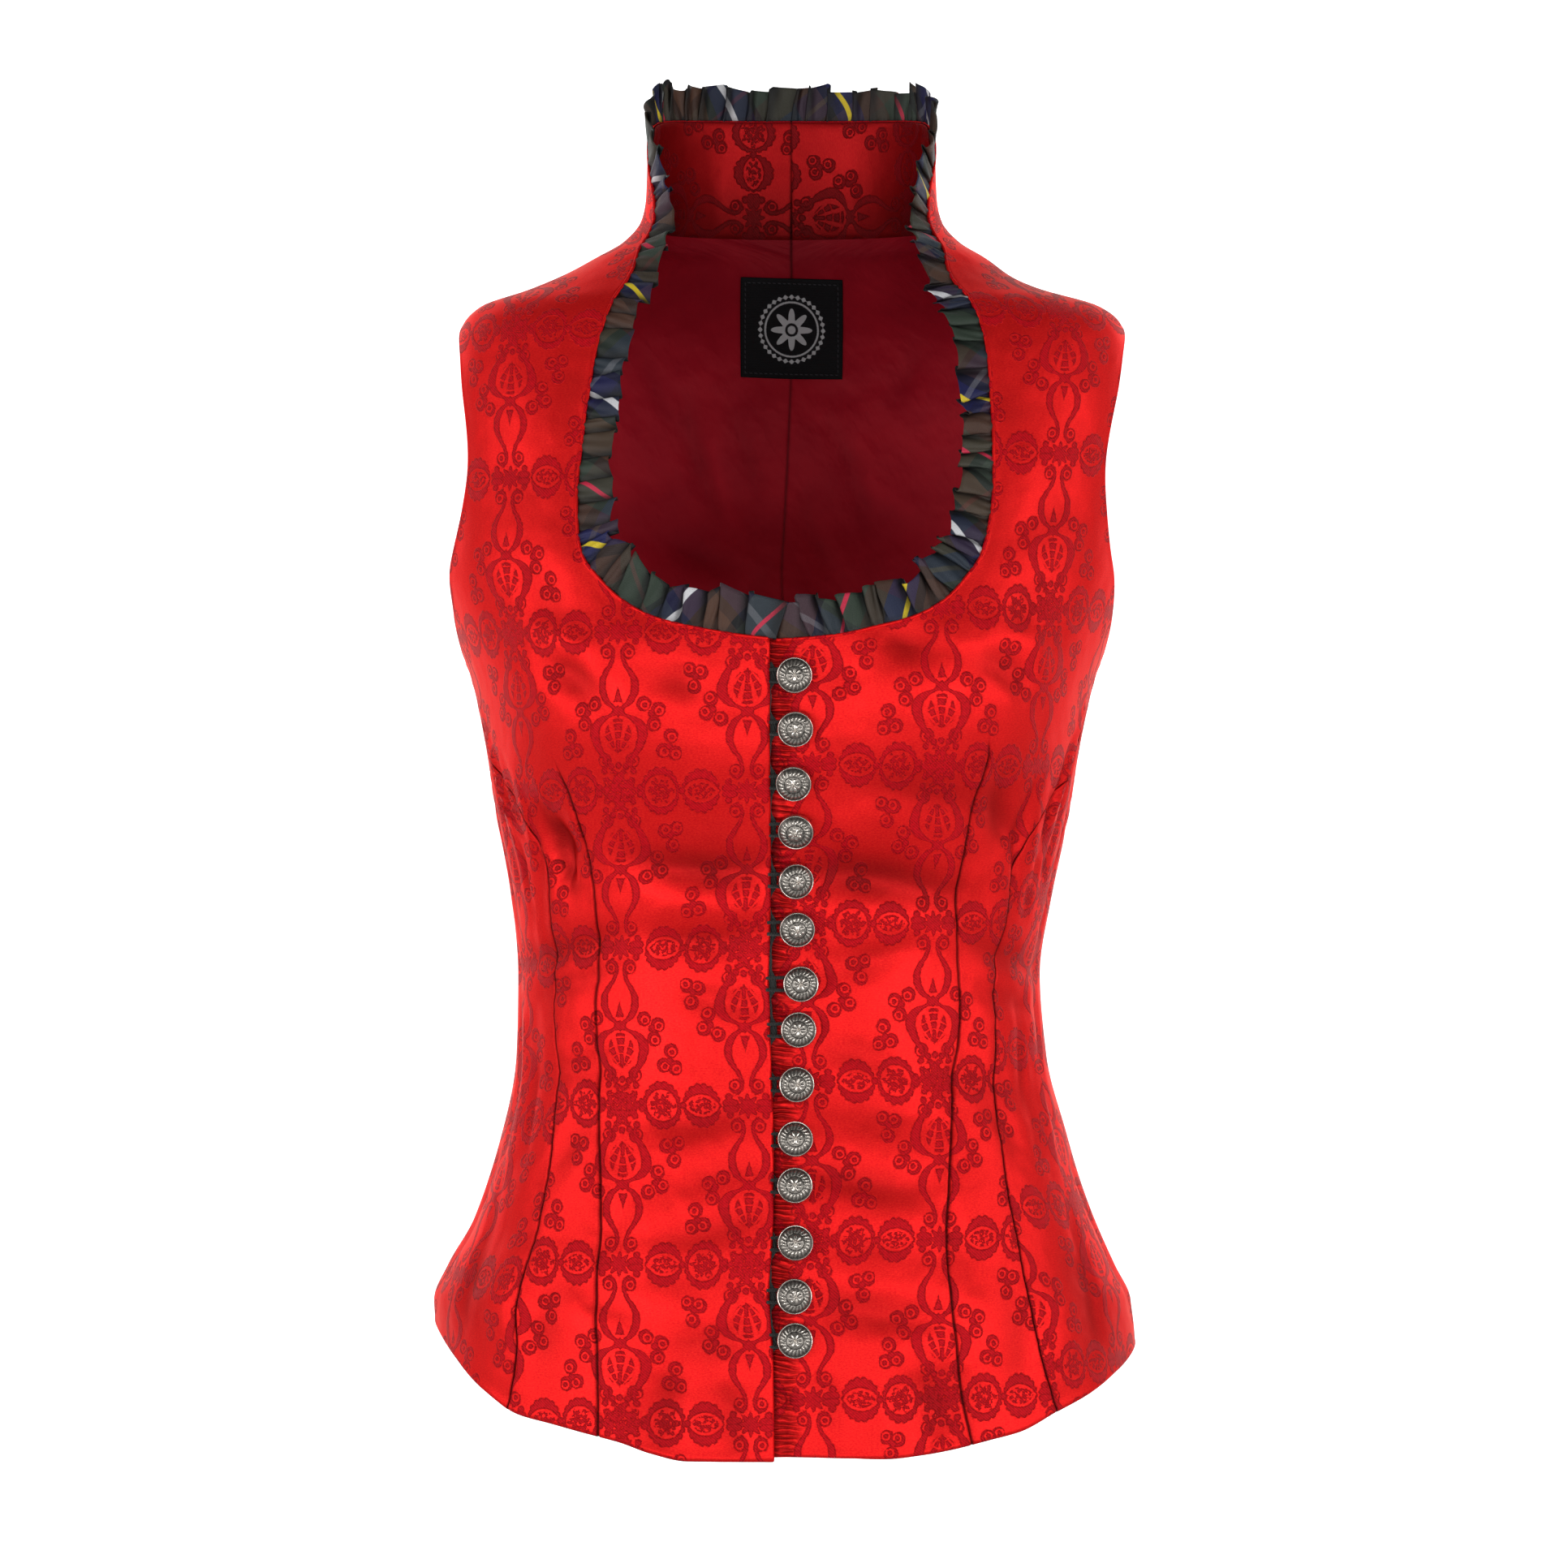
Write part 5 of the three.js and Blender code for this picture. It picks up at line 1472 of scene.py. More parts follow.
# Where a rosette of each piece's pattern stands: for the fronts as distance from the centre line
# and height, for the other pieces in their own cloth coordinates.
PATTERN_PLACE = {
    "front_right": (-73, -253),
    "front_left": (70, -242),
    "side_right": (0, -262),
    "side_left": (0, -300),
    "back_right": (29, -215),
    "back_left": (-29, -215),
    "facing_right": (17, 52),
    "facing_left": (17, -6),
}


def pattern_origin(name):
    x, z = PATTERN_PLACE[name]
    if not name.startswith("front"):
        return x, z
    arc = float(arc_at(np.array([angle_on(0, x, z)]), np.array([float(z)]))[0])
    return math.copysign(arc, x), z


lining_satin = satin_material("lining_satin", colour(158, 5, 30), colour(186, 18, 38), 0.46, 0.15)
inside_satin = satin_material("inside_satin", colour(150, 6, 30), colour(180, 16, 38))
plaid = plaid_material()
pewter = pewter_material()
loop_cord = cord_material("loop_cord", colour(5, 9, 8), colour(22, 31, 27))
label_weave = label_material()
damask = {
    name: damask_material(
        f"damask_{name}", pattern_origin(name), 0.5 if "facing" in name else 0.0, name == "front_left"
    )
    for name in PATTERN_PLACE
}


# Cut size of each piece in metres, without seam allowance. The tape's is its widest place by its
# length on the cloth.
CUT_SIZE = {
    "front": (0.30, 0.66), "side": (0.19, 0.36), "back": (0.26, 0.66), "lining": (0.26, 0.6),
    "facing": (0.14, 0.055), "label": (0.0485, 0.047), "tape": (0.0115, 0.316),
}


FRONT_COLUMNS = (36, 24)
SIDE_COLUMNS = (34,)
BACK_COLUMNS = (48,)
SIDE_PATTERN_MIDDLE = 74


def build_panel(part, side):
    """One panel of the outer cloth as a thin shell with the lining satin on its inside."""
    name = f"{part}_{SIDE_NAMES[side]}"
    dart_angle = None
    if part == "front":
        patches, dart_angle = front_patches(side)
        places = panel_places(patches, side, FRONT_COLUMNS, DART_SHARE)
    elif part == "side":
        places = panel_places(side_patches(side), side, SIDE_COLUMNS)
    else:
        places = panel_places(back_patches(side), side, BACK_COLUMNS)
    angle, z = places["angle"], places["z"]
    base = surface_point(angle, z)
    normal = surface_normal(angle, z)
    inner_kind = "open" if part == "front" else "seam"
    depth, tone = panel_depth(places, base, inner_kind, dart_angle)
    outer = base - normal * depth[..., None]
    inner_depth = np.minimum(depth, 4) * 0.5 + CLOTH_WALL + np.maximum(depth - 2, 0) * 0.5
    inner = base - normal * inner_depth[..., None]
    if part == "side":
        middle = SIDE_PATTERN_MIDDLE * side
        u = np.sign(angle) * arc_at(angle, z) - side * arc_at(np.full_like(z, middle), z)
        v = z
    else:
        u, v = flat_cloth(angle, z, 0 if part == "front" else 180)
    uv = np.stack([u, v], axis=-1)
    piece = shell(f"{name}_cloth", outer, inner, uv, inner_material=1, flip=side == RIGHT, tone=tone)
    finish_piece(piece, name, [damask[name], inside_satin])
    area = grid_area((outer + inner) / 2)
    return places


panels = {}
for panel_side in (RIGHT, LEFT):
    for panel_part in ("front", "side", "back"):
        panels[f"{panel_part}_{SIDE_NAMES[panel_side]}"] = build_panel(panel_part, panel_side)


def part_rows(places, block, start, end):
    """The rows of one block of a panel between two shares of the block."""
    rows = np.flatnonzero(places["blocks"] == block)
    return rows[int(round(start * (len(rows) - 1))):int(round(end * (len(rows) - 1))) + 1]


LINING_PLAY = 1.5
LINING_TOP_PART = (0.9, 1.0)
LINING_SHORTER_ROWS = 9
FACING_PART = (0.03, 0.93)
FACING_FROM_COLUMN = 6


def lining_shell(name, node, angle, z, depth, wall, uv, materials, slot, cut):
    base = surface_point(angle, z)
    normal = surface_normal(angle, z)
    reach = distances(base)
    rise = crease_height(LINING_LINES, angle, z) * LINING_PLAY
    tucked = 0.35 * bell(np.minimum(reach["top"], reach["foot"]), 0.8)
    seam = 0.5 * bell(reach["inner"], 0.7) + 0.3 * bell(reach["outer"], 0.7)
    outer = base - normal * depth
    inner = base - normal * (depth + np.maximum(0.3, wall - rise - tucked - seam * 0.5))[..., None]
    # Painted light and shade: the lining darker towards the top under the collar and lighter on its
    # wrinkles' ridges, the facing darker lower down and towards its front ends, both darker at their seams.
    if slot == "lining_satin":
        painted_light_and_shade = 0.98 - 0.3 * smooth_step(-205, -110, z) - 0.16 * smooth_step(-60, 4, z) + 0.08 * rise
    else:
        painted_light_and_shade = 0.76 - 0.42 * smooth_step(42, 6, z) - 0.2 * smooth_step(140, 108, np.abs(angle))
    tone = np.clip(painted_light_and_shade - seam * 0.8, 0, 1)
    piece = shell(name, outer, inner, uv, flip=angle.mean() < 0, tone=tone)
    finish_piece(piece, node, materials)
    round(min(grid_area(inner), cut[0] * cut[1]), 4)


def build_lining(side):
    name = SIDE_NAMES[side]
    places = panels[f"back_{name}"]
    first = part_rows(places, 0, *LINING_TOP_PART)
    rows = np.concatenate([first, np.flatnonzero(places["blocks"] > 0)])[:-LINING_SHORTER_ROWS]
    angle, z = places["angle"][rows], places["z"][rows]
    u, v = flat_cloth(angle, z, 180)
    uv = np.stack([u, v], axis=-1)
    lining_shell(
        f"lining_{name}_cloth", f"lining_{name}", angle, z, LINING_OUTER, LINING_WALL, uv,
        [lining_satin], "lining_satin", CUT_SIZE["lining"],
    )
    front = panels[f"front_{name}"]
    rows = part_rows(places, 0, *FACING_PART)
    keep = np.arange(FACING_FROM_COLUMN, front["angle"].shape[1] - 1)[::-1]
    angle = np.hstack([places["angle"][rows], front["angle"][rows][:, keep]])
    z = np.hstack([places["z"][rows], front["z"][rows][:, keep]])
    u = side * (arc_at(np.full_like(z, 180.0), z) - arc_at(angle, z))
    uv = np.stack([z, u], axis=-1)
    lining_shell(
        f"facing_{name}_cloth", f"facing_{name}", angle, z, LINING_OUTER, FACING_WALL, uv,
        [damask[f"facing_{name}"]], "damask", CUT_SIZE["facing"],
    )


for panel_side in (RIGHT, LEFT):
    build_lining(panel_side)


def build_label():
    over, down = np.meshgrid(np.linspace(0, 1, 30), np.linspace(0, 1, 28))
    z = LABEL["top"] + (LABEL["bottom"] - LABEL["top"]) * down - LABEL["tilt"] * over
    x = LABEL["from_x"] + (LABEL["to_x"] - LABEL["from_x"]) * over
    angle = angle_on(180, x, z)
    base = surface_point(angle, z)
    normal = surface_normal(angle, z)
    to_side = np.minimum(over, 1 - over) * LABEL_SIZE[0]
    edge = np.minimum(to_side, np.minimum(down, 1 - down) * LABEL_SIZE[1])
    puff = 0.35 * smooth_step(1.2, 5, edge) + 0.15 * np.sin(x / 7 + z / 11)
    depth = LINING_OUTER + LINING_WALL + LABEL_GAP
    outer = base - normal * depth
    inner = base - normal * (depth + LABEL_WALL + puff)[..., None]
    u = x - (LABEL["from_x"] + LABEL["to_x"]) / 2
    v = z - (LABEL["top"] + LABEL["bottom"]) / 2 + LABEL["tilt"] * (over - 0.5)
    piece = shell("label_cloth", outer, inner, np.stack([u, v + LABEL["tilt"] / 2], axis=-1), flip=True)
    finish_piece(piece, "label", [label_weave])


build_label()


# The ruffle follows the cloth edge from the right front over the collar to the left front.
RUFFLE = {"width_front": 17.4, "width_strap": 14.6, "width_collar": 15.2, "root_gap": 0.2, "end_reach": 18}
RUFFLE_START_LEFT = -1.6
RUFFLE_END_LEAN = np.array([0.12, 0, 1])
RUFFLE_LAP = {"length": 5.0, "shift": 3.0, "under": 1.1}
RUFFLE_STRAP_ZONE = (-150, -90)
RUFFLE_COLLAR_ZONE = (20, 45)
PLAID_SHIFT = 17.0
PLEAT_PITCH = 10.4
PLEAT_ROWS = 13

# One pleat in section at the free edge: along as a share of its width, lift in millimetres,
# and the light that reaches it, which is little in the turned-under part.
PLEAT_SECTION = table(
    "along lift light",
    (0.00, -1.3, 0.03), (0.09, -1.1, 0.06), (0.18, -0.5, 0.2), (0.29, 0.4, 0.68), (0.42, 1.1, 0.95),
    (0.60, 1.5, 1.0), (0.80, 1.6, 1.0), (0.95, 1.4, 1.0), (1.04, 0.9, 0.85), (1.07, 0.5, 0.45),
    (1.04, 0.1, 0.15), (0.98, -0.4, 0.06), (0.93, -0.9, 0.03), (0.93, -1.3, 0.03), (1.00, -1.35, 0.03),
)
PLEAT_STEPS = 28
PLEAT_CHANGE = (0.62, 1.0)
PLEAT_SPREAD = {"longer": 0.085, "skew": 0.17, "slant": (0.5, 2.0), "lift": 0.9, "overlap": (0.6, 1.3)}
RUFFLE_SEED = 11
PATH_REACH = 5


def edge_places(front, back):
    """The cloth edge of one side as places with their depth, from the centre front upward."""
    neck = np.flatnonzero(front["blocks"] < 3)
    depth = np.zeros(len(neck))
    signed = front["angle"][neck, 0]
    if front["side"] == LEFT:
        depth = UNDERLAP * (1 - smooth_step(*UNDERLAP_ZONE, signed))
    neckline = np.stack([front["angle"][neck, 0], front["z"][neck, 0], depth], axis=1)[::-1]
    top = np.stack([front["angle"][0, 1:], front["z"][0, 1:], front["z"][0, 1:] * 0], axis=1)
    behind = np.stack([back["angle"][0], back["z"][0], back["z"][0] * 0], axis=1)[::-1]
    return np.vstack([neckline, top, behind])


def root_path():
    left = edge_places(panels["front_left"], panels["back_left"])
    first = int(np.argmax(left[:, 0] > RUFFLE_START_LEFT))
    share = (RUFFLE_START_LEFT - left[first - 1, 0]) / (left[first, 0] - left[first - 1, 0])
    start = left[first - 1] + (left[first] - left[first - 1]) * share
    left = np.vstack([start, left[first:]])[::-1]
    left[:, 0] -= 360
    right = edge_places(panels["front_right"], panels["back_right"])
    places = np.vstack([right, left])
    points = surface_point(places[:, 0], places[:, 1])
    keep = np.concatenate([[True], np.linalg.norm(np.diff(points, axis=0), axis=1) > 0.05])
    places = places[keep]
    points = surface_point(places[:, 0], places[:, 1])
    points = points - surface_normal(places[:, 0], places[:, 1]) * (places[:, 2:3] + CLOTH_WALL / 2)
    lengths = run_lengths(points)
    return {"places": places, "points": points, "lengths": lengths, "total": float(lengths[-1])}


def along_path(path, length):
    def pick(values):
        return np.interp(length, path["lengths"], values)

    point = np.stack([pick(path["points"][:, k]) for k in range(3)], axis=-1)
    return point, pick(path["places"][:, 0]), pick(path["places"][:, 1])


def path_frame(path, length):
    """Point, direction along, normal, direction off the cloth and height, at lengths of the root."""
    point, angle, z = along_path(path, length)
    ahead = along_path(path, np.minimum(path["total"], length + PATH_REACH))[0]
    behind = along_path(path, np.maximum(0, length - PATH_REACH))[0]
    along = unit(ahead - behind)
    normal = surface_normal(angle, z)
    off = unit(np.cross(along, normal))
    return point, along, normal, off, z


def pleat_table(total):
    count = round(total / PLEAT_PITCH)
    i = np.arange(count)
    weights = 1 + 0.28 * np.sin(2.4 * i) + 0.16 * np.sin(5.3 * i + 1)
    widths = weights / weights.sum() * total
    starts = np.concatenate([[0], np.cumsum(widths)[:-1]])
    return starts, widths, 0.92 + 0.16 * np.sin(3.7 * i + 2)


def uneven_faces(values, position, step):
    """A pleat's own value on its open face, changing to the next one's in the turned-under part."""
    number = np.clip(np.minimum(position, len(values) - 1e-6).astype(int), 0, len(values) - 1)
    following = np.minimum(number + 1, len(values) - 1)
    change = smooth_step(*PLEAT_CHANGE, step / PLEAT_STEPS)
    number = np.where(step == PLEAT_STEPS, np.maximum(number - 1, 0), number)
    following = np.where(step == PLEAT_STEPS, np.minimum(number + 1, len(values) - 1), following)
    return values[number] * (1 - change) + values[following] * change


def uneven(values, position):
    """Values of the pleats, run together smoothly from pleat to pleat."""
    return np.interp(position, np.arange(len(values)) + 0.5, values)


def pleat_section():
    """The section run through smoothly, with even steps along its length."""
    rows = np.array([[row["along"] * PLEAT_PITCH, row["lift"], row["light"]] for row in PLEAT_SECTION])
    lengths = np.concatenate([[0], np.cumsum(np.hypot(np.diff(rows[:, 0]), np.diff(rows[:, 1])))])
    steps = np.linspace(0, lengths[-1], PLEAT_STEPS + 1)
    along = np.interp(steps, lengths, rows[:, 0]) / PLEAT_PITCH
    return along, np.interp(steps, lengths, rows[:, 1]), np.interp(steps, lengths, rows[:, 2])


def random_turns(random, count):
    return random.uniform(0, 2 * np.pi, count)


def build_ruffle():
    path = root_path()
    starts, widths, strengths = pleat_table(path["total"])
    count = len(starts)
    random = np.random.default_rng(RUFFLE_SEED)
    longer = 1 + random.normal(0, PLEAT_SPREAD["longer"], count)
    skew = random.normal(0, PLEAT_SPREAD["skew"], count)
    slant = random.normal(*PLEAT_SPREAD["slant"], count)
    lift = random.normal(0, PLEAT_SPREAD["lift"], count)
    overlap = random.uniform(*PLEAT_SPREAD["overlap"], count)
    phase_a, phase_b, phase_c = (random_turns(random, count) for _ in range(3))
    section_along, section_lift, section_light = pleat_section()
    angles = -along_path(path, starts + widths / 2)[1]
    limit = COLLAR_SEAM_TOP[0]
    names = np.where(angles < limit, "right", np.where(angles > 360 - limit, "left", "back"))
    share = np.linspace(0, 1, PLEAT_ROWS)[None, :]
    for name in ("right", "back", "left"):
        own = np.flatnonzero(names == name)
        number = np.repeat(own, PLEAT_STEPS)
        step = np.tile(np.arange(PLEAT_STEPS), len(own))
        number = np.append(number, own[-1])
        step = np.append(step, PLEAT_STEPS)
        position = number + step / PLEAT_STEPS
        face = section_along[step][:, None]
        plain = (step / PLEAT_STEPS)[:, None]
        width = widths[number][:, None]
        open_share = 0.22 + 0.78 * share ** 0.7
        lap = (face - plain) * overlap[number][:, None] * open_share
        length = starts[number][:, None] + widths[number][:, None] * plain
        base_length = np.clip(length[:, 0], 0, path["total"])
        point, along, normal, off, z = path_frame(path, base_length)
        to_end = np.minimum(base_length, path["total"] - base_length)
        lean = 1 - smooth_step(0, RUFFLE["end_reach"], to_end)
        off = unit(off * (1 - lean[:, None]) + RUFFLE_END_LEAN * lean[:, None])
        to_strap = (RUFFLE["width_strap"] - RUFFLE["width_front"]) * smooth_step(*RUFFLE_STRAP_ZONE, z)
        to_collar = (RUFFLE["width_collar"] - RUFFLE["width_strap"]) * smooth_step(*RUFFLE_COLLAR_ZONE, z)
        reach = RUFFLE["width_front"] + to_strap + to_collar
        own_reach = uneven_faces(longer, position, step)
        tilt = skew[number] * (face[:, 0] - 0.5)
        reach = reach[:, None] * (1 + (own_reach - 1 + tilt)[:, None] * share ** 2)
        height = section_lift[step][:, None] * strengths[number][:, None] * (0.35 + 0.75 * share)
        twist_a, twist_b = phase_a[number][:, None], phase_b[number][:, None]
        wrinkle = 0.32 * np.sin(7.5 * plain + 5.2 * share + twist_a) * share * (1 - 0.5 * share)
        gather = 0.3 * np.sin(2 * np.pi * (2.6 * plain + 0.6 * share) + twist_b) * (1 - share) ** 0.8
        bend = uneven(lift, position)[:, None] * share ** 1.5
        rise = height + wrinkle + gather + bend
        drift = lap * width + uneven(slant, position)[:, None] * share * 1.2
        drift = drift + 0.5 * np.sin(4.4 * share + phase_c[number][:, None]) * share
        first = 1 - smooth_step(0, RUFFLE_LAP["length"], base_length)[:, None]
        last = 1 - smooth_step(0, RUFFLE_LAP["length"], path["total"] - base_length)[:, None]
        drift = drift - RUFFLE_LAP["shift"] * first + 1.0 * last
        rise = rise - RUFFLE_LAP["under"] * last + 0.5 * first
        middle = (
            point[:, None, :]
            + off[:, None, :] * (RUFFLE["root_gap"] + reach * share)[..., None]
            + normal[:, None, :] * rise[..., None]
            + along[:, None, :] * drift[..., None]
        )
        down = np.gradient(middle, axis=0)
        out = np.gradient(middle, axis=1)
        side = unit(np.cross(down, out))
        outer = middle + side * RUFFLE_WALL / 2
        inner = middle - side * RUFFLE_WALL / 2
        cloth = run_lengths(middle[:, PLEAT_ROWS - 2])
        uv = np.stack([cloth[:, None] + 0 * share + own[0] * PLAID_SHIFT, reach * share], axis=-1)
        # Painted shade: darker in the turned-under parts of the pleats, more so towards the free edge, and
        # darker next to the root.
        tone = 1 - (1 - section_light[step][:, None]) * (0.55 + 0.45 * share)
        tone = tone * (0.55 + 0.45 * smooth_step(0, 0.16, share))
        piece = shell(f"ruffle_{name}_cloth", outer, inner, uv, tone=tone)
        finish_piece(piece, f"ruffle_{name}", [plaid])
    return path


ruffle_path = build_ruffle()


CORD_RADIUS = 0.78
PIPING = {"end": 0.5, "steps": 900, "sides": 8, "sink": 0.15, "inward": 0.25}


def build_piping(path):
    """The thin rolled edge of the cloth beside the ruffle."""
    length = np.linspace(PIPING["end"], path["total"] - PIPING["end"], PIPING["steps"])
    point, _, normal, off, _ = path_frame(path, length)
    lift = CLOTH_WALL / 2 - PIPING["sink"]
    wander = 0.1 * np.sin(length / 9) + 0.07 * np.sin(length / 3.7)
    centre = point + normal * (lift + wander)[:, None] - off * PIPING["inward"]
    piece = tube("neck_piping", centre, CORD_RADIUS, PIPING["sides"])
    finish_piece(piece, None, [damask["front_right"]])


build_piping(ruffle_path)


# Buttons: a domed disc with a rim, a ring of leaves and sprigs, and an eight-petalled rosette.
BUTTON = {
    "radius": 8.1, "lift": 0.45, "rim": 1.2, "dome": 4.8, "rings": 44, "spokes": 110,
    "dome_radius": 8.6, "sunk": 1.0, "heart": 0.32, "rim_at": 7.75, "trench_at": 7.3,
    "petals": 8, "leaves": 22, "sprigs": 11,
}
SHANK = {"radius": 1.5, "foot": 0.6 - UNDERLAP}


def button_frame(button):
    angle = np.array(angle_on(0, button["x"], button["z"]))
    z = np.array(float(button["z"]))
    normal = surface_normal(angle, z)
    over = unit(np.cross([0, 0, 1.0], normal))
    return surface_point(angle, z), over, np.cross(normal, over), normal


def button_relief(r, turn):
    """Raised ornament of a button as a height, at a radius and an angle."""
    petal_reach = 1.7 + 1.3 * np.abs(np.cos(BUTTON["petals"] / 2 * turn)) ** 0.7
    petals = smooth_step(0.25, -0.25, r - petal_reach) * (0.2 + 0.1 * np.cos(BUTTON["petals"] * turn))
    heart = smooth_step(1.0, 0.7, r) * 0.2
    groove = 0.1 * bell(r - 3.9, 0.2) + 0.06 * bell(r - 6.75, 0.14)
    leaf_turn = (turn * BUTTON["leaves"] / (2 * np.pi)) % 1 - 0.5
    leaf_lean = leaf_turn + (r - 5.1) * 0.22
    leaves = 0.26 * smooth_step(0.44, 0.16, np.abs(leaf_lean) + np.abs(r - 5.45) / 4.4)
    sprig_turn = (turn * BUTTON["sprigs"] / (2 * np.pi)) % 1 - 0.5
    sprigs = 0.12 * np.exp(-((sprig_turn / 0.12) ** 2) - ((r - 4.3) / 0.4) ** 2)
    return petals + heart + leaves + sprigs - groove


def build_button(index, button):
    rings, spokes = BUTTON["rings"], BUTTON["spokes"]
    r = BUTTON["radius"] * np.linspace(0, 1, rings) ** 0.92
    turn = ring_turns(spokes)
    radius, around = np.meshgrid(r[1:], turn, indexing="ij")
    inside = np.clip(1 - (radius / BUTTON["dome_radius"]) ** 2, 0, 1)
    dome = BUTTON["rim"] + BUTTON["dome"] * np.sqrt(inside) - BUTTON["sunk"]
    relief = button_relief(radius, around)
    rim = bell(radius - BUTTON["rim_at"], 0.28)
    trench = bell(radius - BUTTON["trench_at"], 0.16)
    height = BUTTON["lift"] + dome + relief * smooth_step(7.6, 7.1, radius) + 0.42 * rim - 0.25 * trench
    height = height - 0.9 * smooth_step(7.8, 8.1, radius)
    tone = np.clip(0.36 + 0.06 * (radius < 3.7) + relief * 1.9 + rim * 0.8 - trench * 0.2, 0, 1)
    # The underside goes in to the shank, which stands on the cloth of the left front.
    lift = BUTTON["lift"]
    under_r = np.array([7.9, 7.2, SHANK["radius"], SHANK["radius"]])[:, None]
    under_h = np.array([lift + 0.25, lift, lift, SHANK["foot"]])[:, None]
    radius = np.vstack([radius, under_r + 0 * turn])
    around = np.vstack([around, turn + 0 * under_r])
    height = np.vstack([height, under_h + 0 * turn])
    tone = np.vstack([tone, 0.3 + 0 * under_r + 0 * turn])
    spin = 0.35 * math.sin(2.3 * index)
    local_x = radius * np.cos(around + spin)
    local_y = radius * np.sin(around + spin)
    crown = BUTTON["lift"] + BUTTON["rim"] + BUTTON["dome"] - BUTTON["sunk"] + BUTTON["heart"]
    flat = np.stack([local_x, local_y, height], axis=-1).reshape(-1, 3)
    flat = np.vstack([flat, [[0, 0, crown], [0, 0, SHANK["foot"]]]])
    tones = np.concatenate([tone.ravel(), [0.8, 0.3]])
    origin, over, up, normal = button_frame(button)
    tilt = (0.07 * math.sin(1.7 * index + 0.4), 0.06 * math.sin(2.9 * index + 1.1))
    lean_normal = unit(normal + over * tilt[0] + up * tilt[1])
    lean_over = unit(over - lean_normal * np.dot(over, lean_normal))
    lean_up = np.cross(lean_normal, lean_over)
    points = origin + flat[:, 0:1] * lean_over + flat[:, 1:2] * lean_up + flat[:, 2:3] * lean_normal
    rows = radius.shape[0]
    faces = [(a + m, a + spokes + m, a + spokes + n, a + n) for a, m, n in ring_steps(rows, spokes)]
    top, base, last = rows * spokes, rows * spokes + 1, (rows - 1) * spokes
    faces += [(top, j, (j + 1) % spokes) for j in range(spokes)]
    faces += [(base, last + (j + 1) % spokes, last + j) for j in range(spokes)]
    uv = np.stack([flat[:, 0] + 40 * index, flat[:, 1]], axis=1)
    name = f"button_{index + 1:02d}"
    piece = add_mesh(f"{name}_disc", points, faces, uv, None, tones)
    finish_piece(piece, name, [pewter])


LOOP = {"half": 2.9, "depth": 0.9, "steps": 60, "sides": 10}


def build_loop(index, button):
    """A dark cord from under the right front's edge round the button's shank."""
    origin, over, up, normal = button_frame(button)
    half = LOOP["half"]
    edge_angle = np.array(float(-RIGHT_EDGE_ANGLE))
    edge = surface_point(edge_angle, np.array(float(button["z"])))
    root = float(np.dot(edge - origin, over)) - 1.0
    turn = half * math.sqrt(0.5)
    upper = [(root, half * 0.9), (-2.4, half * 1.02), (0.4, half), (turn, turn)]
    lower = [(x, -y) for x, y in reversed(upper)]
    knots = np.array([*upper, (half, 0), *lower])
    t = np.linspace(0, len(knots) - 1, LOOP["steps"])
    padded = np.vstack([2 * knots[0] - knots[1], knots, 2 * knots[-1] - knots[-2]])
    i = np.minimum(t.astype(int), len(knots) - 2)
    f = (t - i)[:, None]
    p0, p1, p2, p3 = padded[i], padded[i + 1], padded[i + 2], padded[i + 3]
    squared = (2 * p0 - 5 * p1 + 4 * p2 - p3) * f ** 2
    cubed = (3 * p1 - p0 - 3 * p2 + p3) * f ** 3
    curve = 0.5 * (2 * p1 + (p2 - p0) * f + squared + cubed)
    rise = -LOOP["depth"] + 0.5 * smooth_step(root + 3, 0, curve[:, 0])
    points = origin + curve[:, 0:1] * over + curve[:, 1:2] * up + rise[:, None] * normal
    name = f"loop_{index + 1:02d}"
    piece = tube(f"{name}_cord", points, CORD_RADIUS, LOOP["sides"])
    finish_piece(piece, name, [loop_cord])


for button_index, button_row in enumerate(BUTTONS):
    build_button(button_index, button_row)
    build_loop(button_index, button_row)


TAPE = {
    "top": -196, "bottom": -506, "steps": 420, "columns": 7, "hidden_angle": -6.5,
    "beside_button": 2.3, "button_reach": 5.2, "face": 0.9, "wall": 0.5,
}


def build_loop_tape():
    """The dark tape that holds the loops, where it peeps out from under the right front."""
    z = np.linspace(TAPE["top"], TAPE["bottom"], TAPE["steps"])
    reveal = 0.1 + 0.2 * np.sin(z / 5.3) + 0.2 * np.sin(z / 1.7 + 1)
    for button in BUTTONS:
        reveal = reveal + TAPE["beside_button"] * np.exp(-(((z - button["z"]) / TAPE["button_reach"]) ** 4))
    edge = angle_on(0, FRONT_EDGE_X + reveal, z)
    hidden = np.full_like(z, TAPE["hidden_angle"])
    columns = np.linspace(0, 1, TAPE["columns"])[None, :]
    angle = hidden[:, None] + (edge - hidden)[:, None] * columns
    height = z[:, None] + 0 * angle
    base = surface_point(angle, height)
    normal = surface_normal(angle, height)
    outer = base - normal * (UNDERLAP - TAPE["face"])
    inner = base - normal * (UNDERLAP - TAPE["face"] + TAPE["wall"])
    uv = np.stack([angle * MM_PER_DEGREE, height], axis=-1)
    piece = shell("loop_tape", outer, inner, uv)
    finish_piece(piece, None, [loop_cord])


build_loop_tape()


# Floor, light and camera.
CAMERA_DISTANCE = 3.0
CAMERA_HEIGHT = -0.25
CAMERA_SIDE = 0.0004
FRAME_WIDTH = 0.7245
SENSOR = 36.0


def add_camera():
    camera = bpy.data.cameras.new("camera")
    camera.sensor_width = SENSOR
    camera.lens = SENSOR * CAMERA_DISTANCE / FRAME_WIDTH
    eye = bpy.data.objects.new("camera", camera)
    eye.location = (CAMERA_SIDE, -CAMERA_DISTANCE, CAMERA_HEIGHT)
    eye.rotation_euler = (math.radians(90), 0, 0)
    bpy.context.scene.collection.objects.link(eye)
    bpy.context.scene.camera = eye


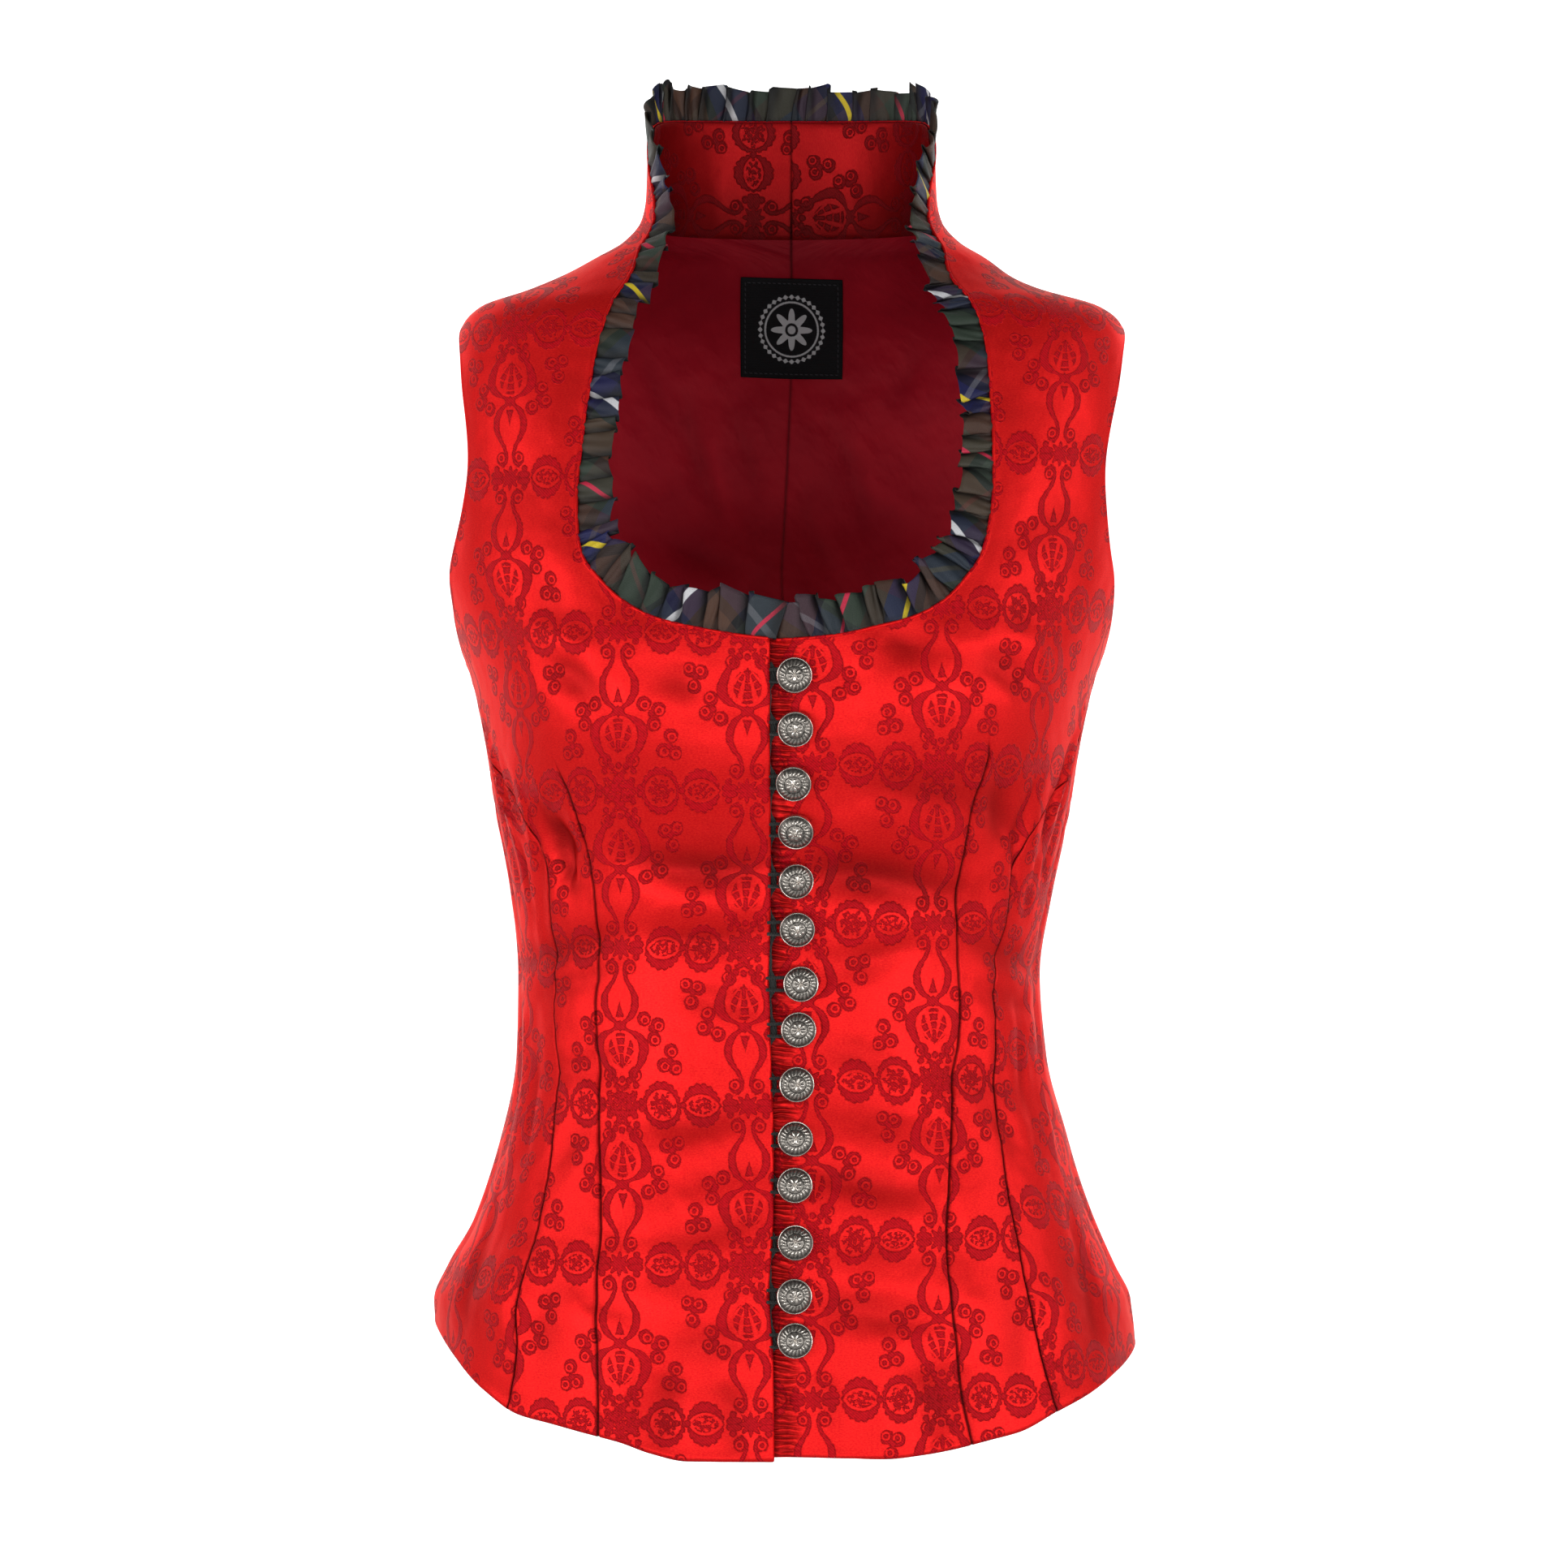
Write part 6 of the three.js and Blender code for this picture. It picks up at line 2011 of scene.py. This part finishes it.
# Area lights: places and targets in metres, sizes in metres, power in watts.
LIGHTS = table(
    "name place target size power",
    ("key_left", (-1.7, -2.2, -0.32), (0, 0, -0.27), (1.1, 0.6), 18),
    ("key_right", (1.7, -2.2, -0.32), (0, 0, -0.27), (1.1, 0.6), 16),
    ("front_strip", (0, -2.7, -0.68), (0, 0, -0.27), (1.7, 0.34), 10.5),
    ("top_strip", (0, -3.2, 0.7), (0, 0, -0.2), (2.0, 0.4), 7),
    ("side_left", (-2.3, -0.7, 0.1), (0, 0, -0.27), (1.0, 1.6), 13),
    ("back_left", (-1.6, 1.8, 0.5), (0, 0, -0.2), (1.2, 1.2), 3),
    ("side_right", (2.3, -0.7, 0.1), (0, 0, -0.27), (1.0, 1.6), 12),
    ("back_right", (1.6, 1.8, 0.5), (0, 0, -0.2), (1.2, 1.2), 3),
)


def add_light(name, place, target, size, power):
    light = bpy.data.lights.new(name, "AREA")
    light.shape = "RECTANGLE"
    light.size, light.size_y = size
    light.energy = power
    lamp = bpy.data.objects.new(name, light)
    lamp.location = place
    direction = np.array(target, float) - np.array(place, float)
    yaw = math.atan2(direction[1], direction[0])
    pitch = math.atan2(direction[2], math.hypot(direction[0], direction[1]))
    lamp.rotation_euler = (math.pi / 2 + pitch, 0, yaw - math.pi / 2)
    bpy.context.scene.collection.objects.link(lamp)


STAGE = {"half": 6.0, "floor": -0.9, "wall_from": 1.3, "wall": 3.4, "curve": 1.2}


def add_stage():
    """A plain pale floor and a white paper wall that curves up from it behind the garment."""
    half, floor_z, curve = STAGE["half"], STAGE["floor"], STAGE["curve"]
    bend = STAGE["wall"] - curve
    rise = [
        (bend + curve * math.sin(t), floor_z + curve * (1 - math.cos(t)))
        for t in np.linspace(0, math.pi / 2, 16)
    ]
    floor = [(-half, floor_z), (STAGE["wall_from"], floor_z)]
    wall = [(STAGE["wall_from"], floor_z), *rise, (STAGE["wall"], half)]
    for name, profile, tone, glow in (("studio_floor", floor, 205, 0.0), ("studio_wall", wall, 250, 0.85)):
        points = np.array([(x, y, z) for y, z in profile for x in (-half, half)]) / MM
        quads = [(2 * k, 2 * k + 1, 2 * k + 3, 2 * k + 2) for k in range(len(profile) - 1)]
        sheet = add_mesh(name, points, quads)
        shader = Shader(name)
        paper = shader.noise(shader.position(), 60.0)
        light_paper = colour(tone, tone, tone)
        dark_paper = colour(tone - 5, tone - 5, tone - 5)
        shader.set(
            Base_Color=shader.blend(shader.fade(paper, 0.3, 0.7), dark_paper, light_paper),
            Roughness=0.9,
            Emission_Color=(1, 1, 1, 1),
            Emission_Strength=glow,
        )
        sheet.data.materials.append(shader.material)


ROOM_LIGHT = 0.14


def add_world():
    bpy.context.scene.view_settings.view_transform = "Standard"
    world = bpy.data.worlds.new("studio")
    world.use_nodes = True
    background = world.node_tree.nodes["Background"]
    background.inputs[0].default_value = (1, 1, 1, 1)
    background.inputs[1].default_value = ROOM_LIGHT
    bpy.context.scene.world = world


add_camera()
add_stage()
add_world()
for light_row in LIGHTS:
    add_light(**light_row)
